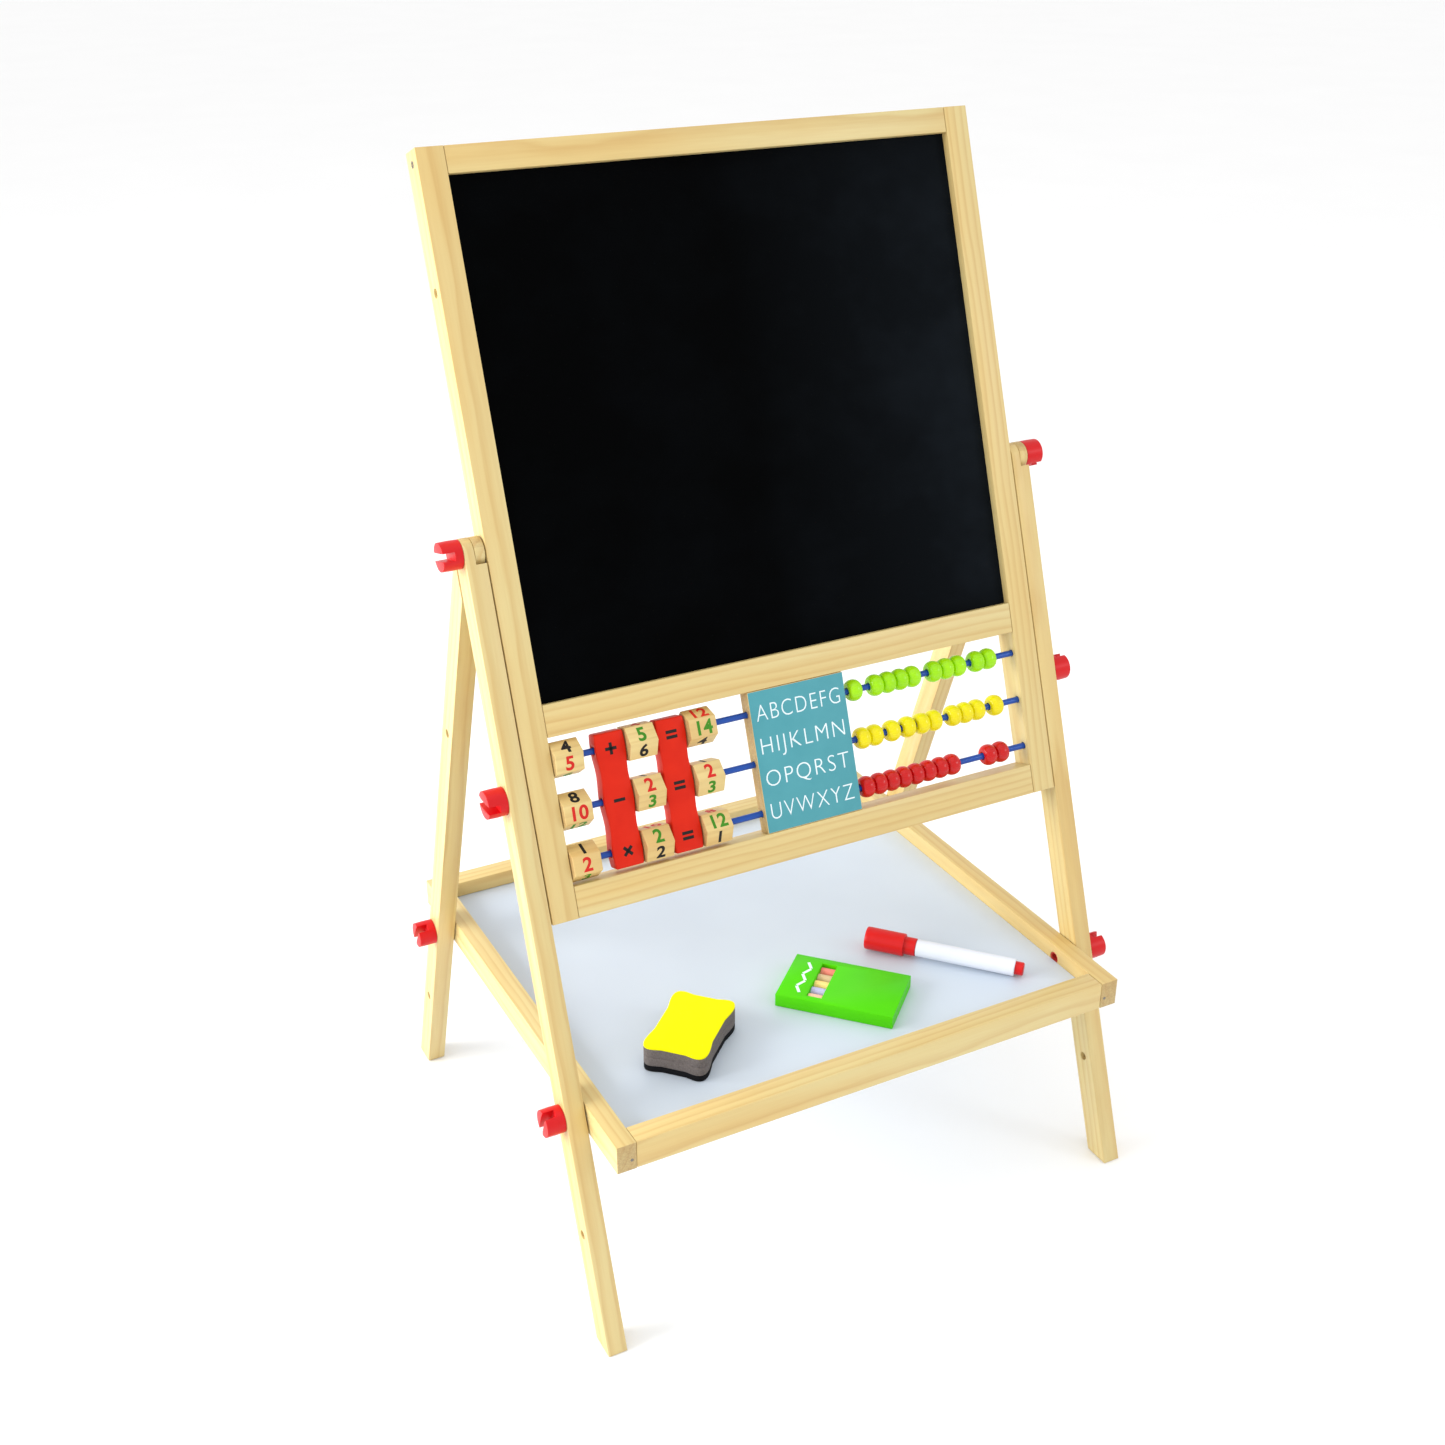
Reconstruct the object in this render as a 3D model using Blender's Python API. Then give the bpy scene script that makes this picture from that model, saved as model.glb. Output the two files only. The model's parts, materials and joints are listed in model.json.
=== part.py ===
"""A child's table easel: a board that flips between two pairs of legs, with a tray below it.

Metres, +Z up, the front is -Y. The origin is on the floor, under the middle of the pivot axis.
The board and the front legs lean back by LEAN, the rear legs lean the other way.
"""

import math

import bmesh
import bpy

# Clearances
FIT_GAP = 0.0003  # between pieces that touch
RUN_GAP = 0.0004  # radial, round a rod or a bolt
SIDE_GAP = 0.001  # board or tray to each leg

# Legs
LEAN = math.radians(19.6)
PIVOT_HEIGHT = 0.558
LEG_THICK = 0.015
LEG_DEPTH = 0.021
LAP_GAP = 0.003  # between the shoulders of the half lap
LOCK_HOLE = 0.175  # below the pivot, along the leg
TRAY_HOLE = 0.412
SPARE_HOLE = 0.503

# Board
BOARD_WIDTH = 0.440
BOARD_HEIGHT = 0.538
BOARD_DEPTH = 0.021
STILE_WIDTH = 0.020
TOP_RAIL_HEIGHT = 0.0185
MIDDLE_RAIL_HEIGHT = 0.0235
BOTTOM_RAIL_HEIGHT = 0.0235
PANEL_THICK = 0.003
PANEL_SETBACK = 0.0073  # board's front face to the chalkboard's face
GROOVE_DEPTH = 0.005

# What turns and slides on the rods
ROD_DIAMETER = 0.005
ROD_SETBACK = 0.007  # board's front face to the rods' axes
ROD_SOCKET = 0.011
ROD_SIDES = 12
BLOCK_ACROSS = 0.024  # number block, across its flats
BLOCK_LENGTH = 0.022
BLOCK_TURNS = ((12, 30, -3), (4, 27, 30), (2, 28, 30))  # degrees, upper facet towards the front
ROW_GAP = 0.0103  # between the corners of blocks on neighbouring rods
WINDOW_TOP_GAP = 0.0036
WINDOW_BOTTOM_GAP = 0.0012
BAR_WIDTH = 0.0238
BAR_WAIST = 0.0212
BAR_THICK = 0.012
BAR_END = 0.0118  # past the outer rods
ALPHABET_WIDTH = 0.082
ALPHABET_THICK = 0.012
BEAD_DIAMETER = 0.017
BEAD_LENGTH = 0.0113
BEAD_NECK = 0.0095  # where two beads meet
BEAD_SIDES = 12

# Tray
TRAY_WIDTH = BOARD_WIDTH  # both stand between the legs
TRAY_DEPTH = 0.400
TRAY_RAIL_HEIGHT = 0.023
TRAY_SIDE_THICK = 0.015
TRAY_END_THICK = 0.018
TRAY_PANEL_THICK = 0.003
TRAY_PANEL_DROP = 0.0138  # rail top to panel top
NUT_DIAMETER = 0.0095
NUT_LENGTH = 0.010

# Knobs, each moulded on its bolt
BOLT_DIAMETER = 0.006
BOLT_SOCKET = 0.0125
BOLT_STOP = 0.0015  # bolt's end to the bottom of its socket
KNOB_DIAMETER = 0.021
KNOB_LENGTH = 0.015
KNOB_SLOT_WIDTH = 0.006
KNOB_SLOT_DEPTH = 0.009
KNOB_CHAMFER = 0.001
KNOB_SIDES = 20
SLOT_LEANS = {  # degrees from upright, towards the front, on the left and on the right
    "pivot": (75, -40),
    "lock": (90, -10),
    "tray_front": (22, 0),
    "tray_rear": (32, 20),
}

# Loose things on the tray. Places are from the inner faces of its rails.
ERASER_SIZE = (0.077, 0.051, 0.022)
ERASER_PLACE = (0.0905, 0.078)  # from the left and from the front
ERASER_TURN = math.radians(43.4)
ERASER_DRAW = (0.15, 0.22)  # how far its ends and its sides draw in, as shares of its half sizes
ERASER_SQUARENESS = 0.42  # 1 is an ellipse, 0 a rectangle
CHALK_BOX_SIZE = (0.096, 0.060, 0.011)
CHALK_BOX_PLACE = (0.024, 0.0803)  # from the middle and from the front
CHALK_BOX_TURN = math.radians(-46.7)
MARKER_PLACE = (0.1287, 0.1305)  # cap's end, from the right and from the front
MARKER_TURN = math.radians(-46.1)
MARKER_LENGTH = 0.132
CAP_DIAMETER = 0.019
CAP_LENGTH = 0.033
COLLAR_DIAMETER = 0.0148
COLLAR_LENGTH = 0.010
BARREL_DIAMETER = 0.0142
PLUG_DIAMETER = 0.011
PLUG_LENGTH = 0.007
NECK_DIAMETER = 0.0118
NECK_LENGTH = 0.014
NIB_DIAMETER = 0.004
NIB_LENGTH = 0.009

# Worked out from the above
HALF_INSIDE = BOARD_WIDTH / 2 - STILE_WIDTH
BOARD_FRONT = -BOARD_DEPTH / 2
BLOCK_CORNERS = BLOCK_ACROSS / math.cos(math.pi / 6)
ROD_PITCH = BLOCK_CORNERS + ROW_GAP
ROD_BACK = BOARD_FRONT + ROD_SETBACK
WINDOW_BOTTOM = -BOARD_HEIGHT / 2 + BOTTOM_RAIL_HEIGHT
ROD_LOW = WINDOW_BOTTOM + WINDOW_BOTTOM_GAP + BLOCK_CORNERS / 2
ROD_HEIGHTS = (ROD_LOW + 2 * ROD_PITCH, ROD_LOW + ROD_PITCH, ROD_LOW)
WINDOW_TOP = ROD_HEIGHTS[0] + BLOCK_CORNERS / 2 + WINDOW_TOP_GAP
PANEL_LOW = WINDOW_TOP + MIDDLE_RAIL_HEIGHT
PANEL_HIGH = BOARD_HEIGHT / 2 - TOP_RAIL_HEIGHT
CHALK_FACE = BOARD_FRONT + PANEL_SETBACK
GROOVE_FRONT = CHALK_FACE - FIT_GAP
GROOVE_BACK = GROOVE_FRONT + 2 * PANEL_THICK + 3 * FIT_GAP
LEG_MIDDLE = BOARD_WIDTH / 2 + SIDE_GAP + LEG_THICK / 2
TRAY_Z = PIVOT_HEIGHT - TRAY_HOLE * math.cos(LEAN)
TRAY_BOLT_Y = TRAY_HOLE * math.sin(LEAN)
TRAY_TOP = TRAY_RAIL_HEIGHT / 2
TRAY_PANEL_TOP = TRAY_TOP - TRAY_PANEL_DROP
TRAY_INSIDE_X = TRAY_WIDTH / 2 - TRAY_SIDE_THICK
TRAY_INSIDE_Y = TRAY_DEPTH / 2 - TRAY_END_THICK
CUT = 0.05  # how far a cutter reaches past what it cuts

ROWS = ("top", "middle", "bottom")
SIDES = {"left": -1, "right": 1}

# Along the left half of the rods: the gaps, as shares of what is free, and what stands between them
LEFT_GAPS = (0.5, 11.5, 0.2, 1.8, 0.2, 31)
LEFT_WIDTHS = (BLOCK_LENGTH, BAR_WIDTH, BLOCK_LENGTH, BAR_WIDTH, BLOCK_LENGTH)
# Along the right half: each rod's colour, its clusters of beads, and the gaps round them
BEADS = {
    "top": ("green", (1, 4, 3, 2), (5.2, 8.1, 8.5, 6.1, 18.1)),
    "middle": ("yellow", (2, 1, 1, 2, 3, 1), (6.9, 4.2, 2.7, 1.7, 6.9, 6.2, 17.4)),
    "bottom": ("red", (8, 2), (4.3, 24.2, 17.5)),
}


def clear_scene():
    for obj in list(bpy.data.objects):
        bpy.data.objects.remove(obj)


def finish(name, colour, roughness, metallic=0.0):
    material = bpy.data.materials.new(name)
    material.use_nodes = True
    shader = material.node_tree.nodes["Principled BSDF"]
    shader.inputs["Base Color"].default_value = (*colour, 1)
    shader.inputs["Roughness"].default_value = roughness
    shader.inputs["Metallic"].default_value = metallic
    return material


def circle(middle, radius, sides):
    """An outline round a point, with a corner at the top."""
    turns = [math.tau * step / sides for step in range(sides)]
    return [(middle[0] + radius * math.sin(turn), middle[1] + radius * math.cos(turn)) for turn in turns]


def prism(outline, axis, low, high):
    """A solid with this outline, from low to high along an axis."""
    place = {
        "x": lambda a, b, along: (along, a, b),
        "y": lambda a, b, along: (a, along, b),
        "z": lambda a, b, along: (a, b, along),
    }[axis]
    solid = bmesh.new()
    ends = [[solid.verts.new(place(a, b, along)) for a, b in outline] for along in (low, high)]
    face = solid.faces.new(ends[0])
    other = solid.faces.new(ends[1])
    bmesh.ops.bridge_loops(solid, edges=[*face.edges, *other.edges])
    bmesh.ops.recalc_face_normals(solid, faces=solid.faces)
    return solid


def block(x, y, z):
    """A box, from its two limits along each axis."""
    outline = [(x[0], y[0]), (x[1], y[0]), (x[1], y[1]), (x[0], y[1])]
    return prism(outline, "z", *z)


def pin(x, middle, diameter, sides=ROD_SIDES):
    """A round bar along X."""
    return prism(circle(middle, diameter / 2, sides), "x", *x)


def turned(profile, sides):
    """A solid turned about X from (x, radius) points. A ring's profile comes back to its start."""
    solid = bmesh.new()
    corners = [solid.verts.new((along, 0, radius)) for along, radius in profile]
    edges = [solid.edges.new(pair) for pair in zip(corners, corners[1:])]
    if profile[0][1] > 0:
        edges.append(solid.edges.new((corners[-1], corners[0])))
    bmesh.ops.spin(
        solid, geom=[*corners, *edges], cent=(0, 0, 0), axis=(1, 0, 0), angle=math.tau, steps=sides
    )
    bmesh.ops.remove_doubles(solid, verts=solid.verts, dist=1e-6)
    bmesh.ops.recalc_face_normals(solid, faces=solid.faces)
    return solid


def mesh_of(solid, smooth=False):
    mesh = bpy.data.meshes.new("mesh")
    solid.to_mesh(mesh)
    solid.free()
    if smooth:
        mesh.shade_smooth()
        mesh.set_sharp_from_angle(angle=math.radians(35))
    return mesh


def carved(mesh, cutters):
    """The mesh with every cutter taken out of it."""
    body = bpy.data.objects.new("body", mesh)
    bpy.context.collection.objects.link(body)
    helpers = [body]
    for cutter in cutters:
        helper = bpy.data.objects.new("cutter", mesh_of(cutter))
        helper.hide_render = True
        helper.display_type = "WIRE"
        bpy.context.collection.objects.link(helper)
        helpers.append(helper)
        cut = body.modifiers.new("cut", "BOOLEAN")
        cut.operation = "DIFFERENCE"
        cut.object = helper
    bpy.context.view_layer.update()
    graph = bpy.context.evaluated_depsgraph_get()
    result = bpy.data.meshes.new_from_object(body.evaluated_get(graph))
    for helper in helpers:
        bpy.data.objects.remove(helper)
    return result


def piece(name, mesh, material, parent=None, place=(0, 0, 0), turn=(0, 0, 0)):
    obj = bpy.data.objects.new(name, mesh)
    bpy.context.collection.objects.link(obj)
    if not mesh.materials:
        mesh.materials.append(material)
    obj.parent = parent
    obj.location = place
    obj.rotation_euler = turn
    return obj


def axis_empty(name, place, turn=(0, 0, 0), parent=None):
    empty = bpy.data.objects.new(name, None)
    bpy.context.collection.objects.link(empty)
    empty.parent = parent
    empty.location = place
    empty.rotation_euler = turn
    return empty


def spread(start, length, widths, shares):
    """Where each width starts, with what is free shared out between them."""
    free = length - sum(widths) - FIT_GAP * len(shares)
    starts = []
    for width, share in zip(widths, shares):
        start += FIT_GAP + free * share / sum(shares)
        starts.append(start)
        start += width
    return starts


# ---------------------------------------------------------------- legs


def leg_mesh():
    """One leg, upright, with the pivot at its origin. All four are alike: a rear leg is turned round."""
    half = LEG_DEPTH / 2
    steps = 10
    turns = [math.pi * step / steps for step in range(steps + 1)]
    outline = [(half * math.cos(turn), half * math.sin(turn)) for turn in turns]
    slope = math.tan(LEAN)
    reach = PIVOT_HEIGHT / math.cos(LEAN)
    outline += [(-half, -reach - half * slope), (half, -reach + half * slope)]
    body = mesh_of(prism(outline, "x", -LEG_THICK / 2, LEG_THICK / 2))

    spread_angle = 2 * LEAN
    along = (math.sin(spread_angle), -math.cos(spread_angle))
    reach_in = half + LAP_GAP
    root = (-reach_in * math.cos(spread_angle), -reach_in * math.sin(spread_angle))
    floor = [(root[0] + along[0] * step, root[1] + along[1] * step) for step in (-CUT, CUT)]
    notch = prism([*floor, (CUT, CUT), (-CUT, CUT)], "x", -FIT_GAP / 2, LEG_THICK)
    heights = (0, -LOCK_HOLE, -TRAY_HOLE, -SPARE_HOLE)
    bore = BOLT_DIAMETER + 2 * RUN_GAP
    holes = [pin((-LEG_THICK, LEG_THICK), (0, height), bore) for height in heights]
    return carved(body, [notch, *holes])


def make_legs(pine, front, rear):
    mesh = leg_mesh()
    for side, sign in SIDES.items():
        piece(f"leg_front_{side}", mesh, pine, front, (sign * LEG_MIDDLE, 0, 0))
        piece(f"leg_rear_{side}", mesh, pine, rear, (sign * LEG_MIDDLE, 0, 0), (0, 0, math.pi))


# ---------------------------------------------------------------- board


def panel_groove(x, z):
    return block(x, (GROOVE_FRONT, GROOVE_BACK), z)


def make_stiles(pine, board):
    outer = BOARD_WIDTH / 2
    for side, sign in SIDES.items():
        limits = sorted((sign * HALF_INSIDE, sign * outer))
        half = BOARD_HEIGHT / 2
        body = mesh_of(block(limits, (BOARD_FRONT, -BOARD_FRONT), (-half, half)))
        groove_limits = sorted((sign * (HALF_INSIDE - CUT), sign * (HALF_INSIDE + GROOVE_DEPTH)))
        cutters = [panel_groove(groove_limits, (PANEL_LOW - GROOVE_DEPTH, PANEL_HIGH + GROOVE_DEPTH))]
        socket = sorted((sign * (outer - BOLT_SOCKET), sign * (outer + CUT)))
        for height in (0, LOCK_HOLE, -LOCK_HOLE):
            cutters.append(pin(socket, (0, height), BOLT_DIAMETER + 2 * RUN_GAP))
        seat = sorted((sign * (HALF_INSIDE - CUT), sign * (HALF_INSIDE + ROD_SOCKET)))
        for height in ROD_HEIGHTS:
            cutters.append(pin(seat, (ROD_BACK, height), ROD_DIAMETER + 2 * RUN_GAP))
        piece(f"stile_{side}", carved(body, cutters), pine, board)


def make_rails(pine, board):
    ends = (-HALF_INSIDE + FIT_GAP, HALF_INSIDE - FIT_GAP)
    past = (-HALF_INSIDE - CUT, HALF_INSIDE + CUT)
    thick = (BOARD_FRONT, -BOARD_FRONT)
    rails = {
        "top_rail": ((PANEL_HIGH, BOARD_HEIGHT / 2), (PANEL_HIGH - CUT, PANEL_HIGH + GROOVE_DEPTH)),
        "middle_rail": ((WINDOW_TOP, PANEL_LOW), (PANEL_LOW - GROOVE_DEPTH, PANEL_LOW + CUT)),
    }
    for name, (height, groove) in rails.items():
        mesh = carved(mesh_of(block(ends, thick, height)), [panel_groove(past, groove)])
        piece(name, mesh, pine, board)
    low = mesh_of(block(ends, thick, (-BOARD_HEIGHT / 2, WINDOW_BOTTOM)))
    piece("bottom_rail", low, pine, board)


def make_panels(black, white, board):
    half = HALF_INSIDE + GROOVE_DEPTH - FIT_GAP
    height = (PANEL_LOW - GROOVE_DEPTH + FIT_GAP, PANEL_HIGH + GROOVE_DEPTH - FIT_GAP)
    front = CHALK_FACE
    for name, material in (("chalkboard", black), ("whiteboard", white)):
        mesh = mesh_of(block((-half, half), (front, front + PANEL_THICK), height))
        piece(name, mesh, material, board)
        front += PANEL_THICK + FIT_GAP


def make_rods(blue, board):
    half = HALF_INSIDE + ROD_SOCKET - FIT_GAP
    mesh = mesh_of(pin((-half, half), (0, 0), ROD_DIAMETER), smooth=True)
    for row, height in zip(ROWS, ROD_HEIGHTS):
        piece(f"rod_{row}", mesh, blue, board, (0, ROD_BACK, height))


def rod_bores(reach, heights):
    """Cutters for the rods, through a piece that reaches this far each way along X."""
    bore = ROD_DIAMETER + 2 * RUN_GAP
    return [pin((-reach, reach), (ROD_BACK, height), bore) for height in heights]


def make_alphabet_block(blue, board):
    half = ALPHABET_WIDTH / 2
    thick = (BOARD_FRONT, BOARD_FRONT + ALPHABET_THICK)
    body = block((-half, half), thick, (WINDOW_BOTTOM + FIT_GAP, WINDOW_TOP - FIT_GAP))
    mesh = carved(mesh_of(body), rod_bores(ALPHABET_WIDTH, ROD_HEIGHTS))
    piece("alphabet_block", mesh, blue, board)


def number_block_mesh():
    """A six-sided roller on its own axis, one flat to the front before it is turned."""
    half = BLOCK_LENGTH / 2
    body = mesh_of(prism(circle((0, 0), BLOCK_CORNERS / 2, 6), "x", -half, half))
    return carved(body, [pin((-CUT, CUT), (0, 0), ROD_DIAMETER + 2 * RUN_GAP)])


def operator_bar_mesh():
    """A flat bar on all three rods, narrower between them, about its own middle."""
    top = ROD_PITCH + BAR_END
    steps = 16
    edge = []
    for step in range(steps + 1):
        height = top - 2 * top * step / steps
        wave = (1 + math.cos(math.tau * height / ROD_PITCH)) / 2
        edge.append((BAR_WAIST + (BAR_WIDTH - BAR_WAIST) * wave, height))
    outline = [(width / 2, height) for width, height in edge]
    outline += [(-width / 2, height) for width, height in reversed(edge)]
    body = mesh_of(prism(outline, "y", -BAR_THICK / 2, BAR_THICK / 2))
    bore = ROD_DIAMETER + 2 * RUN_GAP
    return carved(body, [pin((-CUT, CUT), (0, row * ROD_PITCH), bore) for row in (-1, 0, 1)])


def make_left_half(yellow, red, board):
    """Number blocks on each rod, and two bars that hold the signs."""
    length = HALF_INSIDE - ALPHABET_WIDTH / 2
    starts = spread(-HALF_INSIDE, length, LEFT_WIDTHS, LEFT_GAPS)
    middles = [start + width / 2 for start, width in zip(starts, LEFT_WIDTHS)]
    roller = number_block_mesh()
    for row, height in enumerate(ROD_HEIGHTS, 1):
        for column, middle in enumerate(middles[::2], 1):
            turn = (math.radians(BLOCK_TURNS[row - 1][column - 1]), 0, 0)
            place = (middle, ROD_BACK, height)
            piece(f"number_block_{row}_{column}", roller, yellow, board, place, turn)
    bar = operator_bar_mesh()
    for name, middle in zip(("operator_bar_signs", "operator_bar_equals"), middles[1::2]):
        piece(name, bar, red, board, (middle, ROD_BACK, ROD_HEIGHTS[1]))


def bead_cluster_mesh(count):
    """Beads that stand together on a rod, as one turned body about its own middle."""
    bore = ROD_DIAMETER / 2 + RUN_GAP
    neck = BEAD_NECK / 2
    steps = 3
    profile = []
    start = -count * BEAD_LENGTH / 2
    for bead in range(count):
        for step in range(steps + (bead == count - 1)):
            turn = math.pi * step / steps
            along = start + BEAD_LENGTH * (bead + (1 - math.cos(turn)) / 2)
            profile.append((along, neck + (BEAD_DIAMETER / 2 - neck) * math.sin(turn)))
    profile += [(-start, bore), (start, bore)]
    return mesh_of(turned(profile, BEAD_SIDES), smooth=True)


def make_right_half(colours, board):
    """Counting beads, ten to a rod."""
    length = HALF_INSIDE - ALPHABET_WIDTH / 2
    for row, height in zip(ROWS, ROD_HEIGHTS):
        colour, counts, shares = BEADS[row]
        widths = [count * BEAD_LENGTH for count in counts]
        starts = spread(ALPHABET_WIDTH / 2, length, widths, shares)
        for number, (start, width, count) in enumerate(zip(starts, widths, counts), 1):
            place = (start + width / 2, ROD_BACK, height)
            piece(f"{colour}_beads_{number}", bead_cluster_mesh(count), colours[colour], board, place)


# ---------------------------------------------------------------- tray


def make_tray(pine, white, red, tray):
    """The tray's own frame is its middle, so every piece is set back from the bolts at its front."""
    set_back = (0, TRAY_BOLT_Y, 0)
    outer_x = TRAY_WIDTH / 2
    outer_y = TRAY_DEPTH / 2
    height = (-TRAY_TOP, TRAY_TOP)
    for side, sign in SIDES.items():
        limits = sorted((sign * TRAY_INSIDE_X, sign * outer_x))
        cutters = []
        seat = sorted((sign * (TRAY_INSIDE_X - CUT), sign * (TRAY_INSIDE_X + NUT_LENGTH)))
        through = sorted((sign * TRAY_INSIDE_X, sign * (outer_x + CUT)))
        for bolt in (-TRAY_BOLT_Y, TRAY_BOLT_Y):
            cutters.append(pin(seat, (bolt, 0), NUT_DIAMETER + 2 * FIT_GAP))
            cutters.append(pin(through, (bolt, 0), BOLT_DIAMETER + 2 * RUN_GAP))
        rail = mesh_of(block(limits, (-outer_y, outer_y), height))
        piece(f"tray_side_{side}", carved(rail, cutters), pine, tray, set_back)

    ends = (-TRAY_INSIDE_X + FIT_GAP, TRAY_INSIDE_X - FIT_GAP)
    panel_height = (TRAY_PANEL_TOP - TRAY_PANEL_THICK, TRAY_PANEL_TOP)
    slit = (panel_height[0] - FIT_GAP, panel_height[1] + FIT_GAP)
    for name, sign in (("tray_front_rail", -1), ("tray_back_rail", 1)):
        limits = sorted((sign * TRAY_INSIDE_Y, sign * outer_y))
        groove = sorted((sign * (TRAY_INSIDE_Y - CUT), sign * (TRAY_INSIDE_Y + GROOVE_DEPTH)))
        cutter = block((-outer_x, outer_x), groove, slit)
        piece(name, carved(mesh_of(block(ends, limits, height)), [cutter]), pine, tray, set_back)
    half = TRAY_INSIDE_Y + GROOVE_DEPTH - FIT_GAP
    piece("tray_panel", mesh_of(block(ends, (-half, half), panel_height)), white, tray, set_back)

    bore = BOLT_DIAMETER / 2 + RUN_GAP
    wall = NUT_DIAMETER / 2
    shell = [(FIT_GAP, bore), (FIT_GAP, wall), (NUT_LENGTH - FIT_GAP, wall), (NUT_LENGTH - FIT_GAP, bore)]
    nut = mesh_of(turned(shell, ROD_SIDES), smooth=True)
    for side, sign in SIDES.items():
        turn = (0, 0, 0) if sign > 0 else (0, 0, math.pi)
        for end, bolt in (("front", 0), ("rear", 2 * TRAY_BOLT_Y)):
            place = (sign * TRAY_INSIDE_X, bolt, 0)
            piece(f"tray_nut_{end}_{side}", nut, red, tray, place, turn)


# ---------------------------------------------------------------- knobs


def knob_mesh(reach):
    """A knob's head outside a leg's face at x = 0, and its bolt that reaches inwards."""
    bolt = BOLT_DIAMETER / 2
    head = KNOB_DIAMETER / 2
    top = FIT_GAP + KNOB_LENGTH
    profile = [
        (-reach, 0),
        (-reach, bolt),
        (FIT_GAP, bolt),
        (FIT_GAP, head),
        (top - KNOB_CHAMFER, head),
        (top, head - KNOB_CHAMFER),
        (top, 0),
    ]
    slot = KNOB_SLOT_WIDTH / 2
    cutter = block((top - KNOB_SLOT_DEPTH, top + CUT), (-slot, slot), (-CUT, CUT))
    mesh = carved(mesh_of(turned(profile, KNOB_SIDES)), [cutter])
    mesh.shade_smooth()
    mesh.set_sharp_from_angle(angle=math.radians(35))
    return mesh


def make_knobs(red, front, rear):
    """Only the pivot's and the tray's front bolts reach past the leg: the others stop short of it."""
    full = LEG_THICK + SIDE_GAP + BOLT_SOCKET - BOLT_STOP
    short = LEG_THICK - FIT_GAP
    knobs = (
        ("pivot", front, 0, full),
        ("lock", front, -LOCK_HOLE, short),
        ("tray_front", front, -TRAY_HOLE, full),
        ("tray_rear", rear, -TRAY_HOLE, short),
    )
    meshes = {reach: knob_mesh(reach) for reach in (full, short)}
    for name, parent, height, reach in knobs:
        for (side, sign), lean in zip(SIDES.items(), SLOT_LEANS[name]):
            place = (sign * (LEG_MIDDLE + LEG_THICK / 2), 0, height)
            twist = sign * (math.radians(lean) - parent.rotation_euler.x)
            turn = (twist, 0, 0 if sign > 0 else math.pi)
            piece(f"knob_{name}_{side}", meshes[reach], red, parent, place, turn)


# ---------------------------------------------------------------- loose things


def eraser_outline():
    """A rounded rectangle that draws in at the middle of each side."""
    half_x = ERASER_SIZE[0] / 2
    half_y = ERASER_SIZE[1] / 2
    steps = 40
    outline = []
    for step in range(steps):
        turn = math.tau * (step + 0.5) / steps
        x = math.copysign(abs(math.cos(turn)) ** ERASER_SQUARENESS, math.cos(turn))
        y = math.copysign(abs(math.sin(turn)) ** ERASER_SQUARENESS, math.sin(turn))
        draw_x = 1 - ERASER_DRAW[0] * (1 - y * y) ** 2
        draw_y = 1 - ERASER_DRAW[1] * (1 - x * x) ** 2
        outline.append((x * draw_x, y * draw_y))
    reach_x = max(x for x, _ in outline)
    reach_y = max(y for _, y in outline)
    return [(half_x * x / reach_x, half_y * y / reach_y) for x, y in outline]


def make_eraser(yellow, tray_floor):
    place = (ERASER_PLACE[0] - TRAY_INSIDE_X, ERASER_PLACE[1] - TRAY_INSIDE_Y, FIT_GAP)
    mesh = mesh_of(prism(eraser_outline(), "z", 0, ERASER_SIZE[2]))
    piece("eraser", mesh, yellow, tray_floor, place, (0, 0, ERASER_TURN))


def make_chalk_box(green, tray_floor):
    half_x = CHALK_BOX_SIZE[0] / 2
    half_y = CHALK_BOX_SIZE[1] / 2
    mesh = mesh_of(block((-half_x, half_x), (-half_y, half_y), (0, CHALK_BOX_SIZE[2])))
    place = (CHALK_BOX_PLACE[0], CHALK_BOX_PLACE[1] - TRAY_INSIDE_Y, FIT_GAP)
    piece("chalk_box", mesh, green, tray_floor, place, (0, 0, CHALK_BOX_TURN))


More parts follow.
